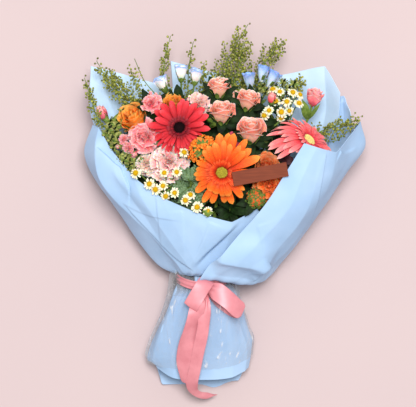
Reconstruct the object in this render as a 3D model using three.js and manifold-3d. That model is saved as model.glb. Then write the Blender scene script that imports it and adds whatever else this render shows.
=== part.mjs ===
// A mixed flower bouquet in a pale blue paper wrap, tied with a satin ribbon and lying on its back.
// Millimetres. +Y runs from the cut ends of the stems to the blooms, +Z up from the surface it lies
// on, +X across. The origin is on that surface, under the middle of the bouquet's box.

import * as THREE from "three";
import { mergeVertices } from "three/addons/utils/BufferGeometryUtils.js";
import Module from "manifold-3d";

const wasm = await Module();
wasm.setup();

// ---- Driving dimensions ----

const TIE = { x: -32, y: -100, z: 47, width: 8, thick: 1.6 }; // where the stems are bound
const BUNDLE = { gap: 0.6, gather: 30, sink: 0.3, splay: 1.1, drop: 16, cutY: -236, cutStagger: 5 };
const STEM = { sides: 5, thinSides: 4, thin: 1.5, straight: 14, station: 20, bend: 6 };
const TURN = 2.4; // radians between one part and the next set round a stem
const PAPER = { thick: 1, colour: "#b9d9f4" };
const FILM = { thick: 0.8, colour: "#e6eef2" };
const RIBBON = { width: 21, thick: 1, colour: "#ee9aa6" };
const NECK = { backY: -91.4, back: 33.8, leftY: -97, left: 37.3, rightY: -103, right: 39.2, band: 40 };
const GREEN = { pod: "#8f9b45", leaf: "#3d5a2c", pale: "#8ea37c", burgundy: "#5b2d33" };

const UP = new THREE.Vector3(0, 1, 0);
const vec = (p) => new THREE.Vector3(...p);
const lerp = (a, b, t) => a.clone().lerp(b, t);

// ---- Solids ----

// A closed geometry as a solid: shared corners joined and collapsed triangles dropped.
function solidOf(geometry) {
  const bare = geometry.clone();
  bare.deleteAttribute("normal");
  bare.deleteAttribute("uv");
  const merged = mergeVertices(bare, 1e-3);
  const index = merged.index.array;
  const kept = [];
  for (let i = 0; i < index.length; i += 3) {
    const [a, b, c] = index.slice(i, i + 3);
    if (a !== b && b !== c && c !== a) kept.push(a, b, c);
  }
  return new wasm.Manifold(
    new wasm.Mesh({
      numProp: 3,
      vertProperties: merged.attributes.position.array,
      triVerts: new Uint32Array(kept),
    }),
  );
}

// Several closed geometries joined into one body, with the pockets sealed between them filled.
function joined(geometries) {
  const whole = geometries.map(solidOf).reduce((all, one) => all.add(one));
  const [body, ...others] = whole.decompose().sort((a, b) => b.volume() - a.volume());
  const CRUMB = 0.01; // mm3 left where two faces meet
  if (others.some((one) => one.volume() > CRUMB)) throw new Error("a piece is not joined to the rest");
  const { vertProperties, triVerts } = body.getMesh();
  return new THREE.BufferGeometry()
    .setAttribute("position", new THREE.BufferAttribute(new Float32Array(vertProperties), 3))
    .setIndex(new THREE.BufferAttribute(new Uint32Array(triVerts), 1));
}

// A smooth curve whose steps fall on its own points, however unevenly these are spaced.
class SteppedCurve extends THREE.CatmullRomCurve3 {
  constructor(points) {
    super(points, false, "centripetal");
  }

  getSpacedPoints(divisions) {
    return this.getPoints(divisions);
  }

  getTangentAt(u, target) {
    return this.getTangent(u, target);
  }
}

// A rod of even thickness through the given points, with some steps between each two.
function rod(points, radius, perSpan = 1) {
  const sides = radius > STEM.thin ? STEM.sides : STEM.thinSides;
  const section = new THREE.Shape();
  for (let i = 0; i < sides; i++) {
    const turn = (2 * Math.PI * i) / sides;
    const corner = [radius * Math.cos(turn), radius * Math.sin(turn)];
    if (i === 0) section.moveTo(...corner);
    else section.lineTo(...corner);
  }
  const extrudePath = new SteppedCurve(points);
  const steps = perSpan * (points.length - 1);
  return new THREE.ExtrudeGeometry(section, { extrudePath, steps, bevelEnabled: false });
}

// A body of revolution about its facing direction, from [radius, height] pairs. Its rim is notched
// in and out by the given share where the radius is over a third of the widest.
function turned(profile, segments, notch = 0) {
  const widest = Math.max(...profile.map(([r]) => r));
  const geometry = new THREE.LatheGeometry(profile.map(([r, h]) => new THREE.Vector2(r, h)), segments);
  const position = geometry.attributes.position;
  for (let i = 0; i < position.count; i++) {
    const spoke = Math.floor(i / profile.length) % segments;
    const radius = Math.hypot(position.getX(i), position.getZ(i));
    const share = spoke % 2 && radius > widest / 3 ? 1 - notch : 1;
    position.setX(i, position.getX(i) * share);
    position.setZ(i, position.getZ(i) * share);
  }
  return geometry;
}

// Moves a shape made along +Y so that it stands at a point and looks in a direction.
function placed(geometry, at, facing) {
  const turn = new THREE.Quaternion().setFromUnitVectors(UP, facing.clone().normalize());
  return geometry.applyQuaternion(turn).translate(at.x, at.y, at.z);
}

// A flat pointed leaf between two points, its upper face towards the given side.
function leaf(base, tip, width, side, thick = 1) {
  const length = base.distanceTo(tip);
  const outline = new THREE.Shape();
  outline.moveTo(-0.12 * width, 0);
  outline.lineTo(0.12 * width, 0);
  outline.lineTo(0.5 * width, 0.4 * length);
  outline.lineTo(0.36 * width, 0.75 * length);
  outline.lineTo(0, length);
  outline.lineTo(-0.36 * width, 0.75 * length);
  outline.lineTo(-0.5 * width, 0.4 * length);
  const blade = new THREE.ExtrudeGeometry(outline, { depth: thick, bevelEnabled: false });
  const along = tip.clone().sub(base).normalize();
  const across = new THREE.Vector3().crossVectors(along, side).normalize();
  const frame = new THREE.Matrix4().makeBasis(across, along, across.clone().cross(along));
  return blade.translate(0, 0, -thick / 2).applyMatrix4(frame.setPosition(base));
}

// A rounded seed pod on its short stalk, as one spindle from the stem out to its tip.
function pod(from, towards, length, width) {
  const ROOT = 1.5; // how deep it sits in the stem
  const profile = [[0, -ROOT], [width / 2, 0.65 * length], [0, length]];
  return placed(turned(profile, 4), from, towards);
}

// ---- Blooms, each made about its own centre and looking along +Y ----

const BLOOM = {
  gerbera: {
    stem: 3,
    neck: 0.55,
    back: 0.26,
    make: (r) => turned(
      [[0, -0.27 * r], [0.14 * r, -0.24 * r], [0.24 * r, -0.1 * r], [r, -0.04 * r],
        [r, 0.03 * r], [0.2 * r, 0.08 * r], [0, 0.07 * r]], 28, 0.16),
  },
  rose: {
    stem: 2.4,
    neck: 1.7,
    back: 0.95,
    make: (r) => turned(
      [[0, -r], [0.4 * r, -0.9 * r], [0.86 * r, -0.4 * r], [r, 0.1 * r], [0.86 * r, 0.42 * r],
        [0.45 * r, 0.55 * r], [0, 0.5 * r]], 12, 0.06),
  },
  carnation: {
    stem: 2.1,
    neck: 1.4,
    back: 1.25,
    make: (r) => turned(
      [[0, -1.3 * r], [0.22 * r, -1.2 * r], [0.28 * r, -0.6 * r], [0.88 * r, -0.2 * r], [r, 0.08 * r],
        [0.7 * r, 0.4 * r], [0, 0.48 * r]], 14, 0.1),
  },
  bud: {
    stem: 1.6,
    neck: 3,
    back: 1.5,
    make: (r) => turned(
      [[0, -1.6 * r], [0.8 * r, -1.1 * r], [r, -0.2 * r], [0.55 * r, r], [0, 1.3 * r]], 8),
  },
  cluster: {
    stem: 1.8,
    neck: 1.6,
    back: 0.75,
    make: (r) => turned(
      [[0, -0.8 * r], [0.6 * r, -0.5 * r], [r, 0], [0.7 * r, 0.4 * r], [0, 0.55 * r]], 12, 0.14),
  },
  cup: {
    stem: 1.3,
    neck: 2.4,
    back: 1.35,
    make: (r) => turned(
      [[0, -1.4 * r], [0.45 * r, -1.2 * r], [0.75 * r, -0.2 * r], [r, 0.8 * r], [0, 0.6 * r]], 8),
  },
  daisy: {
    stem: 1,
    neck: 1.8,
    back: 0.22,
    make: (r) => turned(
      [[0, -0.28 * r], [r, -0.03 * r], [r, 0.08 * r], [0.35 * r, 0.3 * r], [0, 0.32 * r]], 8, 0.12),
  },
};

// ---- The stems' way from the cut ends, through the binding, to the blooms ----

// Each stem has its place in the bundle's cross-section, x across and y up, on the side its bloom
// goes to. The bundle is drawn in and its stems pushed apart by turns until it is tight.
function packBundle(stems) {
  const ROUNDS = 500;
  const LOOSE = 60; // the last rounds only push apart
  const DRAW = 0.985;
  for (const stem of stems) {
    const reach = stem.target.y - TIE.y;
    stem.slot = new THREE.Vector2((stem.target.x - TIE.x) / reach, (stem.target.z - TIE.z) / reach);
    stem.slot.y -= BUNDLE.sink;
    stem.slot.multiplyScalar(BUNDLE.gather);
  }
  for (let round = 0; round < ROUNDS; round++) {
    const pull = round < ROUNDS - LOOSE ? DRAW : 1;
    for (const stem of stems) stem.slot.multiplyScalar(pull);
    stems.forEach((a, i) => stems.slice(i + 1).forEach((b) => {
      const apart = b.slot.clone().sub(a.slot);
      const lack = a.radius + b.radius + BUNDLE.gap - apart.length();
      if (lack <= 0) return;
      apart.setLength(lack / 2);
      a.slot.sub(apart);
      b.slot.add(apart);
    }));
  }
}

// Past the binding each stem goes straight for its bloom's neck, and bends round the stems it
// would cross. Its points stand a station apart along +Y, so those of one station are compared.
function settle(stems) {
  for (const stem of stems) {
    const high = new THREE.Vector3(TIE.x + stem.slot.x, TIE.y + STEM.straight, TIE.z + stem.slot.y);
    const stations = Math.max(2, Math.floor((stem.target.y - high.y) / STEM.station));
    const reach = (stem.target.y - high.y) / STEM.station;
    stem.way = [];
    for (let k = 0; k < stations; k++) stem.way.push(lerp(high, stem.target, k / reach));
  }
  const SLANT = 1.3; // a slanted stem is this much wider in the plane of a station
  const ROUNDS = 300;
  const LOOSE = 40; // the last rounds only push apart
  const EASE = 0.3; // how far a bend is straightened in a round
  for (let round = 0; round < ROUNDS; round++) {
    stems.forEach((a, i) => stems.slice(i + 1).forEach((b) => {
      const shared = Math.min(a.way.length, b.way.length);
      for (let k = 1; k < shared; k++) {
        const apart = b.way[k].clone().sub(a.way[k]);
        apart.y = 0;
        const lack = (a.radius + b.radius) * SLANT + BUNDLE.gap - apart.length();
        if (lack <= 0) continue;
        apart.setLength(lack / 2);
        a.way[k].sub(apart);
        b.way[k].add(apart);
      }
    }));
    if (round > ROUNDS - LOOSE) continue;
    for (const { way, target } of stems) {
      for (let k = 1; k < way.length; k++) {
        const next = way[k + 1] ?? target;
        const share = (way[k].y - way[k - 1].y) / (next.y - way[k - 1].y);
        way[k].lerp(lerp(way[k - 1], next, share), EASE);
      }
    }
  }
}

// The stem's route: splayed below the binding, parallel through it, then on to the bloom's neck.
function route({ slot, way, target }, order) {
  const cut = BUNDLE.cutY + BUNDLE.cutStagger * Math.sin(TURN * order);
  const start = new THREE.Vector3(
    TIE.x + BUNDLE.splay * slot.x, cut, TIE.z - BUNDLE.drop + BUNDLE.splay * slot.y);
  const low = new THREE.Vector3(TIE.x + slot.x, TIE.y - STEM.straight, TIE.z + slot.y);
  return [start, low, ...way, target];
}

// The point behind a bloom where its stem bends to meet it.
function neckPoint(kind, at, facing, r) {
  return at.clone().addScaledVector(facing, -BLOOM[kind].neck * r - STEM.bend);
}

// Pointed leaves that grow from a stem, each at a share of its length: [share, tip, width].
function leavesOn(points, leaves) {
  const stem = new SteppedCurve(points);
  return leaves.map(([share, tip, width]) => leaf(
    stem.getPoint(share), vec(tip), width, new THREE.Vector3(0, 0, 1)));
}

// One bloom on its own stem.
function bloomStem(kind, at, facing, r, leaves = []) {
  const look = vec(facing).normalize();
  const centre = vec(at);
  const target = neckPoint(kind, centre, look, r);
  const radius = BLOOM[kind].stem;
  return {
    target,
    radius,
    build: (points) => {
      const line = [...points, centre.clone().addScaledVector(look, -BLOOM[kind].back * r)];
      return joined([
        rod(line, radius),
        placed(BLOOM[kind].make(r), centre, look),
        ...leavesOn(line, leaves),
      ]);
    },
  };
}

// A spray: one stem that forks into thin branches, each with a small bloom of the same kind.
function spray(kind, fork, heads, r, stemRadius) {
  const centre = vec(fork);
  return {
    target: centre,
    radius: stemRadius,
    build: (points) => joined([
      rod(points, stemRadius),
      ...heads.flatMap(([at, facing]) => {
        const look = vec(facing).normalize();
        const head = vec(at);
        const neck = neckPoint(kind, head, look, r);
        const seat = head.clone().addScaledVector(look, -BLOOM[kind].back * r);
        const branch = [lerp(points.at(-2), centre, 0.8), lerp(centre, neck, 0.5), neck, seat];
        return [
          rod(branch, BLOOM[kind].stem),
          placed(BLOOM[kind].make(r), head, look),
        ];
      }),
    ]),
  };
}

// A sprig: a bare stem, then a thinner twig with pods set round it in turn up to its tip.
function podSprig(line, pods) {
  const SPRIG = { radius: 1.3, twig: 0.75, podLong: 9, podWide: 5, lean: 0.5 };
  const tops = line.map(vec);
  const target = tops[0];
  return {
    target,
    radius: SPRIG.radius,
    build: (points) => {
      const axis = [lerp(points.at(-2), target, 0.7), ...tops];
      const curve = new SteppedCurve(axis);
      const parts = [rod(points, SPRIG.radius), rod(axis, SPRIG.radius * SPRIG.twig, 2)];
      for (let i = 0; i < pods; i++) {
        const at = (i + 0.6) / pods;
        const turn = TURN * i;
        const out = new THREE.Vector3(Math.cos(turn), 0.7, Math.sin(turn));
        out.addScaledVector(curve.getTangent(at), SPRIG.lean);
        parts.push(pod(curve.getPoint(at), out, SPRIG.podLong, SPRIG.podWide));
      }
      return joined(parts);
    },
  };
}

// A leafy stem: a rod with pointed leaves.
function foliage(places, leaves, radius = 1.6) {
  const line = places.map(vec);
  return {
    target: line[0],
    radius,
    build: (points) => {
      const stem = [...points, ...line.slice(1)];
      return joined([rod(stem, radius), ...leavesOn(stem, leaves)]);
    },
  };
}

// ---- What stands in the bouquet ----

const COLOUR = {
  crimson: "#a81e34", orange: "#f06a1c", coral: "#ee5566", peach: "#f29a86", blush: "#f3b7a2",
  pink: "#f37c86", cream: "#f6e2d2", variegated: "#f2b3b8", wine: "#8c1a33", flame: "#ee5f2a",
  white: "#f4f2e8", tinted: "#a9c6e6",
};

const BLOOMS = [
  ["gerbera_red", "gerbera", [-66, 122, 142], [-0.05, 0.22, 0.95], 46, COLOUR.crimson],
  ["gerbera_orange", "gerbera", [-4, 56, 160], [0, 0.05, 1], 55, COLOUR.orange],
  ["gerbera_coral", "gerbera", [123, 103, 138], [0.55, 0.15, 0.8], 52, COLOUR.coral],
  ["spray_rose_top", "rose", [-8, 184, 126], [0.05, 0.8, 0.6], 16, COLOUR.peach],
  ["spray_rose_left", "rose", [-3, 146, 142], [0, 0.65, 0.75], 18, COLOUR.peach],
  ["spray_rose_right", "rose", [35, 164, 136], [0.2, 0.7, 0.7], 16, COLOUR.peach],
  ["spray_rose_front", "rose", [39, 119, 150], [0, 0.6, 0.8], 20, COLOUR.peach],
  ["spray_rose_bud", "bud", [17, 170, 122], [0, 0.9, 0.4], 7, COLOUR.peach],
  ["coral_bud", "bud", [70, 167, 128], [0.1, 0.9, 0.4], 7, COLOUR.coral],
  ["carnation_blush", "carnation", [-37, 162, 120], [0, 0.6, 0.8], 20, COLOUR.blush],
  ["carnation_pink_small", "carnation", [-108, 163, 124], [-0.1, 0.6, 0.8], 16, COLOUR.pink],
  ["carnation_coral_large", "carnation", [-120, 112, 125], [-0.2, 0.2, 0.9], 24, COLOUR.pink],
  ["carnation_coral_small", "carnation", [-90, 130, 117], [-0.1, 0.4, 0.9], 11, COLOUR.pink],
  ["carnation_variegated", "carnation", [-84, 74, 133], [-0.1, 0.15, 0.98], 28, COLOUR.variegated],
  ["carnation_cream", "carnation", [-118, 70, 112], [-0.2, 0.15, 0.95], 18, COLOUR.cream],
  ["carnation_wine", "carnation", [14, 104, 118], [0, 0.1, 0.95], 12, COLOUR.wine],
  ["ranunculus_left", "rose", [-138, 143, 98], [-0.4, 0.5, 0.75], 20, COLOUR.flame],
  ["ranunculus_top", "rose", [-77, 160, 116], [-0.1, 0.6, 0.8], 16, COLOUR.flame],
  ["ranunculus_right", "rose", [67, 76, 128], [0.1, 0.3, 0.95], 18, COLOUR.flame],
  ["carnation_orange", "carnation", [67, 38, 130], [0.1, 0, 1], 20, COLOUR.flame],
  ["pink_bud_left", "bud", [-183, 147, 80], [-0.5, 0.8, 0.3], 8, COLOUR.pink,
    [[0.93, [-180, 112, 92], 12], [0.94, [-158, 146, 92], 10]]],
  ["pink_bud_right", "bud", [135, 170, 100], [0.25, 0.85, 0.45], 11, COLOUR.pink,
    [[0.92, [118, 168, 104], 11], [0.92, [152, 154, 96], 10]]],
  ["butterfly_weed_green", "cluster", [43, 10, 136], [0, 0, 1], 11, GREEN.pod],
  ["butterfly_weed_orange", "cluster", [-30, 88, 128], [0, 0.3, 1], 14, COLOUR.orange],
];

const SPRAYS = [
  ["tinted_spray_left", "cup", [-62, 120, 80], 9, 2, COLOUR.tinted, [
    [[-92, 189, 98], [-0.4, 0.9, 0.3]], [[-64, 206, 94], [0, 1, 0.3]], [[-42, 201, 98], [0.2, 1, 0.3]]]],
  ["tinted_spray_right", "cup", [38, 118, 92], 9, 2, COLOUR.tinted, [
    [[37, 196, 104], [-0.1, 1, 0.3]], [[58, 207, 98], [0.2, 1, 0.3]], [[73, 198, 100], [0.5, 0.9, 0.3]]]],
  ["camomile_spray_right", "daisy", [72, 66, 104], 9, 1.8, COLOUR.white, [
    [[101, 175, 128], [0.2, 0.5, 0.8]], [[92, 161, 134], [0, 0.4, 0.9]], [[110, 159, 130], [0.3, 0.4, 0.9]],
    [[84, 146, 132], [-0.1, 0.2, 1]], [[66, 148, 134], [-0.2, 0.3, 0.9]], [[82, 176, 126], [0, 0.6, 0.8]]]],
  ["camomile_spray_left", "daisy", [-86, 12, 100], 9, 1.8, COLOUR.white, [
    [[-130, 56, 143], [-0.4, 0.2, 0.9]], [[-110, 40, 147], [-0.2, 0, 1]], [[-90, 37, 152], [0, 0.1, 1]],
    [[-73, 27, 152], [0.1, -0.1, 1]]]],
  ["camomile_spray_centre", "daisy", [-40, 10, 100], 9, 1.8, COLOUR.white, [
    [[-57, 16, 152], [-0.1, 0, 1]], [[-24, 0, 150], [0.1, -0.1, 1]], [[-40, 6, 151], [0, 0, 1]]]],
];

const SPRIGS = [
  ["pod_sprig_far_left", [[-152, 104, 84], [-172, 166, 92], [-188, 200, 92]], 6],
  ["pod_sprig_left", [[-126, 148, 64], [-146, 190, 84], [-166, 224, 92]], 6],
  ["pod_sprig_left_inner", [[-112, 150, 78], [-130, 180, 86], [-144, 206, 88]], 5],
  ["grass_stem_left", [[-100, 170, 70], [-106, 200, 76], [-112, 228, 80]], 4],
  ["pod_sprig_tall_left", [[-80, 168, 66], [-72, 214, 72], [-56, 262, 78]], 7],
  ["pod_sprig_slender", [[-54, 172, 66], [-48, 212, 72], [-26, 254, 72]], 6],
  ["grass_stem_centre", [[-32, 176, 66], [-31, 200, 72], [-30, 222, 74]], 4],
  ["pod_sprig_tall_centre", [[-14, 174, 62], [4, 222, 68], [36, 280, 72]], 8],
  ["pod_sprig_centre", [[10, 176, 74], [22, 214, 80], [30, 250, 84]], 7],
  ["pod_sprig_right_inner", [[30, 170, 66], [58, 218, 74], [90, 256, 78]], 8],
  ["pod_sprig_right", [[94, 168, 74], [106, 184, 80], [118, 196, 84]], 5],
  ["pod_sprig_far_right", [[134, 112, 84], [162, 126, 92], [188, 133, 98]], 5],
];

const LEAFY = [
  ["dark_foliage", GREEN.leaf, [[14, -22, 82], [20, -2, 112]], [
    [0.9, [-8, -14, 118], 15], [0.92, [36, -16, 112], 15],
    [0.96, [6, 10, 128], 15], [0.99, [34, 12, 122], 13]]],
  ["burgundy_foliage", GREEN.burgundy, [[84, 62, 100], [88, 82, 118]], [
    [0.93, [70, 96, 116], 12], [0.97, [98, 96, 116], 12], [0.98, [104, 76, 118], 12]]],
  ["pale_foliage", GREEN.pale, [[-50, 26, 106], [-54, 40, 134]], [
    [0.93, [-72, 44, 130], 11], [0.96, [-42, 50, 134], 11], [0.97, [-66, 24, 136], 10]]],
];

// ---- The paper sheets ----

// A sheet's control points, in ribs from the neck outwards, smoothed into a finer net.
function refined(ribs, columns, rows) {
  const along = ribs.map((rib) => new THREE.CatmullRomCurve3(rib, false, "centripetal").getPoints(rows));
  const net = [];
  for (let j = 0; j <= rows; j++) {
    const line = along.map((rib) => rib[j]);
    net.push(new THREE.CatmullRomCurve3(line, false, "centripetal").getPoints(columns));
  }
  return net;
}

// A net of points thickened to both sides into one closed sheet. A closed net joins its last
// column to its first. No point goes below the surface.
function sheet(net, thick, closed = false) {
  const rows = net.length;
  const columns = net[0].length;
  const at = (j, i) => net[j][closed ? (i + columns) % columns : Math.min(Math.max(i, 0), columns - 1)];
  const corners = [];
  for (const side of [0.5, -0.5]) {
    for (let j = 0; j < rows; j++) {
      for (let i = 0; i < columns; i++) {
        const across = at(j, i + 1).clone().sub(at(j, i - 1));
        const along = at(Math.min(j + 1, rows - 1), i).clone().sub(at(Math.max(j - 1, 0), i));
        const normal = across.cross(along).normalize();
        const point = at(j, i).clone().addScaledVector(normal, side * thick);
        corners.push(point.x, point.y, Math.max(point.z, 0));
      }
    }
  }
  const id = (side, j, i) => (side * rows + j) * columns + (i % columns);
  const faces = [];
  const quad = (a, b, c, d) => faces.push(a, b, c, a, c, d);
  const spans = closed ? columns : columns - 1;
  for (let j = 0; j < rows - 1; j++) {
    for (let i = 0; i < spans; i++) {
      quad(id(0, j, i), id(0, j, i + 1), id(0, j + 1, i + 1), id(0, j + 1, i));
      quad(id(1, j, i), id(1, j + 1, i), id(1, j + 1, i + 1), id(1, j, i + 1));
    }
    if (closed) continue;
    quad(id(0, j, 0), id(0, j + 1, 0), id(1, j + 1, 0), id(1, j, 0));
    quad(id(0, j, spans), id(1, j, spans), id(1, j + 1, spans), id(0, j + 1, spans));
  }
  for (let i = 0; i < spans; i++) {
    quad(id(0, 0, i), id(1, 0, i), id(1, 0, i + 1), id(0, 0, i + 1));
    quad(id(0, rows - 1, i), id(0, rows - 1, i + 1), id(1, rows - 1, i + 1), id(1, rows - 1, i));
  }
  const geometry = new THREE.BufferGeometry();
  geometry.setAttribute("position", new THREE.BufferAttribute(new Float32Array(corners), 3));
  geometry.setIndex(faces);
  return geometry;
}

// The point of the neck at an angle from +X towards +Z, in degrees.
function neckAt(radius, y, degrees) {
  const turn = THREE.MathUtils.degToRad(degrees);
  return new THREE.Vector3(TIE.x + radius * Math.cos(turn), y, TIE.z + radius * Math.sin(turn));
}

// Each rib: its angle at the neck, then its points out to the rim.
const SHEETS = {
  paper_back_centre: {
    radius: NECK.back, y: NECK.backY, columns: 9, rows: 9,
    ribs: [
      [245, [-44, -60, 6], [-52, -11, 0.5], [-61, 63, 0.5], [-73, 139, 0.5], [-81, 229, 5]],
      [260, [-34, -60, 5], [-32, -11, 0.5], [-32, 63, 0.5], [-35, 139, 0.5], [-36, 217, 1]],
      [278, [-20, -60, 5], [-9, -11, 0.5], [2, 63, 0.5], [10, 139, 0.5], [17, 203, 1]],
      [295, [-6, -60, 7], [13, -11, 1], [34, 63, 2], [49, 136, 2], [59, 191, 4]],
    ],
  },
  paper_back_right: {
    radius: NECK.back - 1.8, y: NECK.backY, columns: 12, rows: 9,
    ribs: [
      [255, [-32, -60, 10], [-32, -11, 4], [-30, 62, 4], [-26, 127, 4], [-27, 185, 4]],
      [275, [-16, -60, 10], [-3, -11, 4], [10, 62, 4], [17, 127, 5], [16, 194, 6]],
      [292, [-2, -60, 13], [25, -11, 8], [46, 62, 9], [60, 133, 11], [58, 201, 16]],
      [310, [12, -60, 19], [52, -9, 14], [87, 65, 18], [107, 138, 24], [102, 209, 30]],
      [330, [20, -59, 29], [76, -5, 26], [127, 70, 35], [153, 140, 46], [152, 218, 54]],
      [350, [24, -59, 41], [84, 0, 40], [138, 77, 56], [170, 134, 70], [174, 177, 74]],
    ],
  },
  paper_back_left: {
    radius: NECK.back - 3.6, y: NECK.backY, columns: 12, rows: 9,
    ribs: [
      [180, [-82, -59, 45], [-139, 9, 42], [-178, 89, 56], [-201, 150, 66], [-200, 218, 60]],
      [200, [-72, -59, 31], [-115, 4, 24], [-150, 85, 32], [-168, 150, 42], [-163, 210, 40]],
      [218, [-60, -60, 22], [-88, -2, 16], [-117, 78, 20], [-129, 144, 26], [-126, 200, 25]],
      [236, [-48, -60, 17], [-61, -6, 11], [-80, 70, 12], [-87, 136, 15], [-88, 190, 16]],
      [254, [-34, -60, 15], [-35, -11, 8], [-42, 65, 8], [-47, 130, 9], [-51, 180, 10]],
      [272, [-20, -60, 15], [-10, -14, 8], [-7, 62, 8], [-7, 127, 8], [-12, 172, 8]],
    ],
  },
  paper_side_right: {
    radius: NECK.back, y: NECK.backY, columns: 8, rows: 9,
    ribs: [
      [318, [20, -62, 17], [84, -17, 15], [137, 56, 22], [163, 123, 32], [166, 171, 40]],
      [335, [30, -61, 28], [97, -14, 28], [150, 59, 38], [180, 125, 52], [180, 173, 62]],
      [352, [32, -60, 42], [101, -13, 43], [160, 62, 56], [190, 118, 70], [189, 151, 76]],
      [369, [32, -60, 54], [101, -10, 58], [163, 64, 76], [194, 109, 86], [193, 127, 92]],
    ],
  },
  paper_front_left: {
    radius: NECK.left, y: NECK.leftY, columns: 15, rows: 9,
    ribs: [
      [200, [-90, -86, 26], [-155, 7, 16], [-200, 80, 30], [-194, 119, 50]],
      [180, [-100, -80, 46], [-167, 10, 52], [-210, 84, 66], [-197, 129, 80]],
      [160, [-86, -86, 66], [-145, 8, 92], [-189, 73, 108], [-183, 114, 104]],
      [142, [-66, -90, 84], [-120, -4, 114], [-160, 52, 125], [-164, 87, 118]],
      [126, [-50, -92, 92], [-95, -22, 122], [-123, 22, 134], [-136, 52, 133]],
      [112, [-38, -93, 94], [-64, -37, 124], [-83, -1, 137], [-94, 21, 141]],
      [98, [-26, -93, 94], [-28, -49, 124], [-36, -22, 138], [-43, -1, 144]],
      [84, [-14, -92, 93], [4, -52, 122], [8, -31, 137], [11, -16, 143]],
      [70, [-4, -90, 88], [29, -47, 112], [41, -22, 124], [47, 3, 130]],
    ],
  },
  paper_front_right: {
    radius: NECK.right, y: NECK.rightY, columns: 13, rows: 10,
    ribs: [
      [96, [-37, -102, 103], [-18, -74, 118], [19, -37, 138], [59, 9, 158], [88, 54, 168], [116, 99, 173]],
      [78, [-16, -101, 104], [14, -72, 118], [47, -48, 136], [93, 2, 158], [113, 48, 168], [135, 93, 172]],
      [56, [14, -106, 95], [40, -84, 102], [75, -58, 114], [119, -4, 140], [134, 43, 155], [150, 89, 163]],
      [34, [42, -110, 76], [64, -88, 78], [94, -58, 88], [139, 8, 112], [156, 46, 134], [165, 87, 148]],
      [12, [56, -107, 54], [80, -82, 54], [110, -44, 62], [160, 25, 84], [178, 67, 105], [186, 111, 122]],
      [-10, [62, -102, 36], [92, -72, 36], [132, -20, 42], [185, 59, 60], [210, 97, 78], [203, 133, 95]],
      [-30, [50, -90, 18], [72, -64, 14], [108, -23, 7], [166, 47, 14], [193, 98, 38], [197, 128, 58]],
    ],
  },
};

function paperSheet({ radius, y, columns, rows, ribs }) {
  const lines = ribs.map(([angle, ...points]) => [neckAt(radius, y, angle), ...points.map(vec)]);
  return sheet(refined(lines, columns, rows), PAPER.thick);
}

// The skirt round the stems' lower ends: rings of [y, centre x, centre z, half width, half height,
// depth of the gathers], flattened where they lie on the surface.
const SKIRT_RINGS = [
  [-92, -32, 47, 28.4, 28.4, 4.5],
  [-119, -32, 47, 28.4, 28.4, 4.5],
  [-130, -31, 45, 43, 36, 4],
  [-148, -31, 42, 55, 40, 3],
  [-172, -33, 38, 64, 39, 2],
  [-200, -34, 34, 75, 36, 1],
  [-222, -38, 30, 76, 33, 0],
  [-242, -36, 26, 70, 29, 0],
  [-258, -36, 23, 64, 26, 0],
];

function skirt(rings, { columns, grow, floor, gathers, endBack }) {
  return rings.map(([y, x, z, wide, high, depth], ring) => {
    const line = [];
    for (let i = 0; i < columns; i++) {
      const turn = (2 * Math.PI * i) / columns;
      const fold = gathers ? depth * Math.cos(gathers * turn) : depth;
      const back = ring === rings.length - 1 ? endBack * (1 - Math.sin(turn)) / 2 : 0;
      const px = x + (wide + grow + fold) * Math.cos(turn);
      const pz = z + (high + grow + fold) * Math.sin(turn);
      line.push(new THREE.Vector3(px, y - back, Math.max(pz, floor)));
    }
    return line;
  });
}

// ---- The ribbon ----

// A strip of ribbon along a line, its width lying in the given direction.
function strip(line, across, width, steps) {
  const curve = new THREE.CatmullRomCurve3(line.map(vec), false, "centripetal");
  const net = curve.getPoints(steps).map((point, i) => {
    const lean = across(i / steps).normalize();
    return [-0.5, 0.5].map((side) => point.clone().addScaledVector(lean, side * width));
  });
  return sheet(net, RIBBON.thick);
}

function ribbonBow() {
  const KNOT = [-34, -114, TIE.z + NECK.band + 4];
  const LOOP_WIDTH = 0.8 * RIBBON.width; // the folded left loop
  const band = [];
  const BAND_COLUMNS = 24;
  for (const y of [-108, -118]) {
    const line = [];
    for (let i = 0; i < BAND_COLUMNS; i++) line.push(neckAt(NECK.band, y, (360 * i) / BAND_COLUMNS));
    band.push(line);
  }
  const across = new THREE.Vector3(1, 0.2, 0);
  const knot = placed(turned([[0, -8], [7, -6], [8, 0], [7, 6], [0, 8]], 8), vec(KNOT), across);
  const flat = () => new THREE.Vector3(0.1, 1, 0);
  const level = () => new THREE.Vector3(1, 0.15, 0);
  const leftLoop = [
    [-37, -113, 93], [-50, -122, 103], [-64, -136, 102], [-58, -147, 96], [-42, -134, 94], [-35, -116, 89]];
  const rightLoop = [
    [-31, -117, 93], [-8, -122, 104], [13, -133, 102], [10, -152, 96], [-12, -142, 94], [-32, -117, 90]];
  const tails = [
    [[-36, -115, 91], [-42, -150, 95], [-52, -196, 82], [-60, -240, 68], [-54, -262, 58], [-40, -279, 40]],
    [[-32, -115, 88], [-28, -150, 90], [-30, -190, 78], [-38, -232, 68], [-42, -264, 54]],
  ];
  return joined([
    sheet(band, RIBBON.thick, true),
    knot,
    strip(leftLoop, flat, LOOP_WIDTH, 12),
    strip(rightLoop, flat, RIBBON.width, 12),
    ...tails.map((tail) => strip(tail, level, RIBBON.width, 9)),
  ]);
}

// ---- The place tag, lying on the blooms ----

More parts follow.
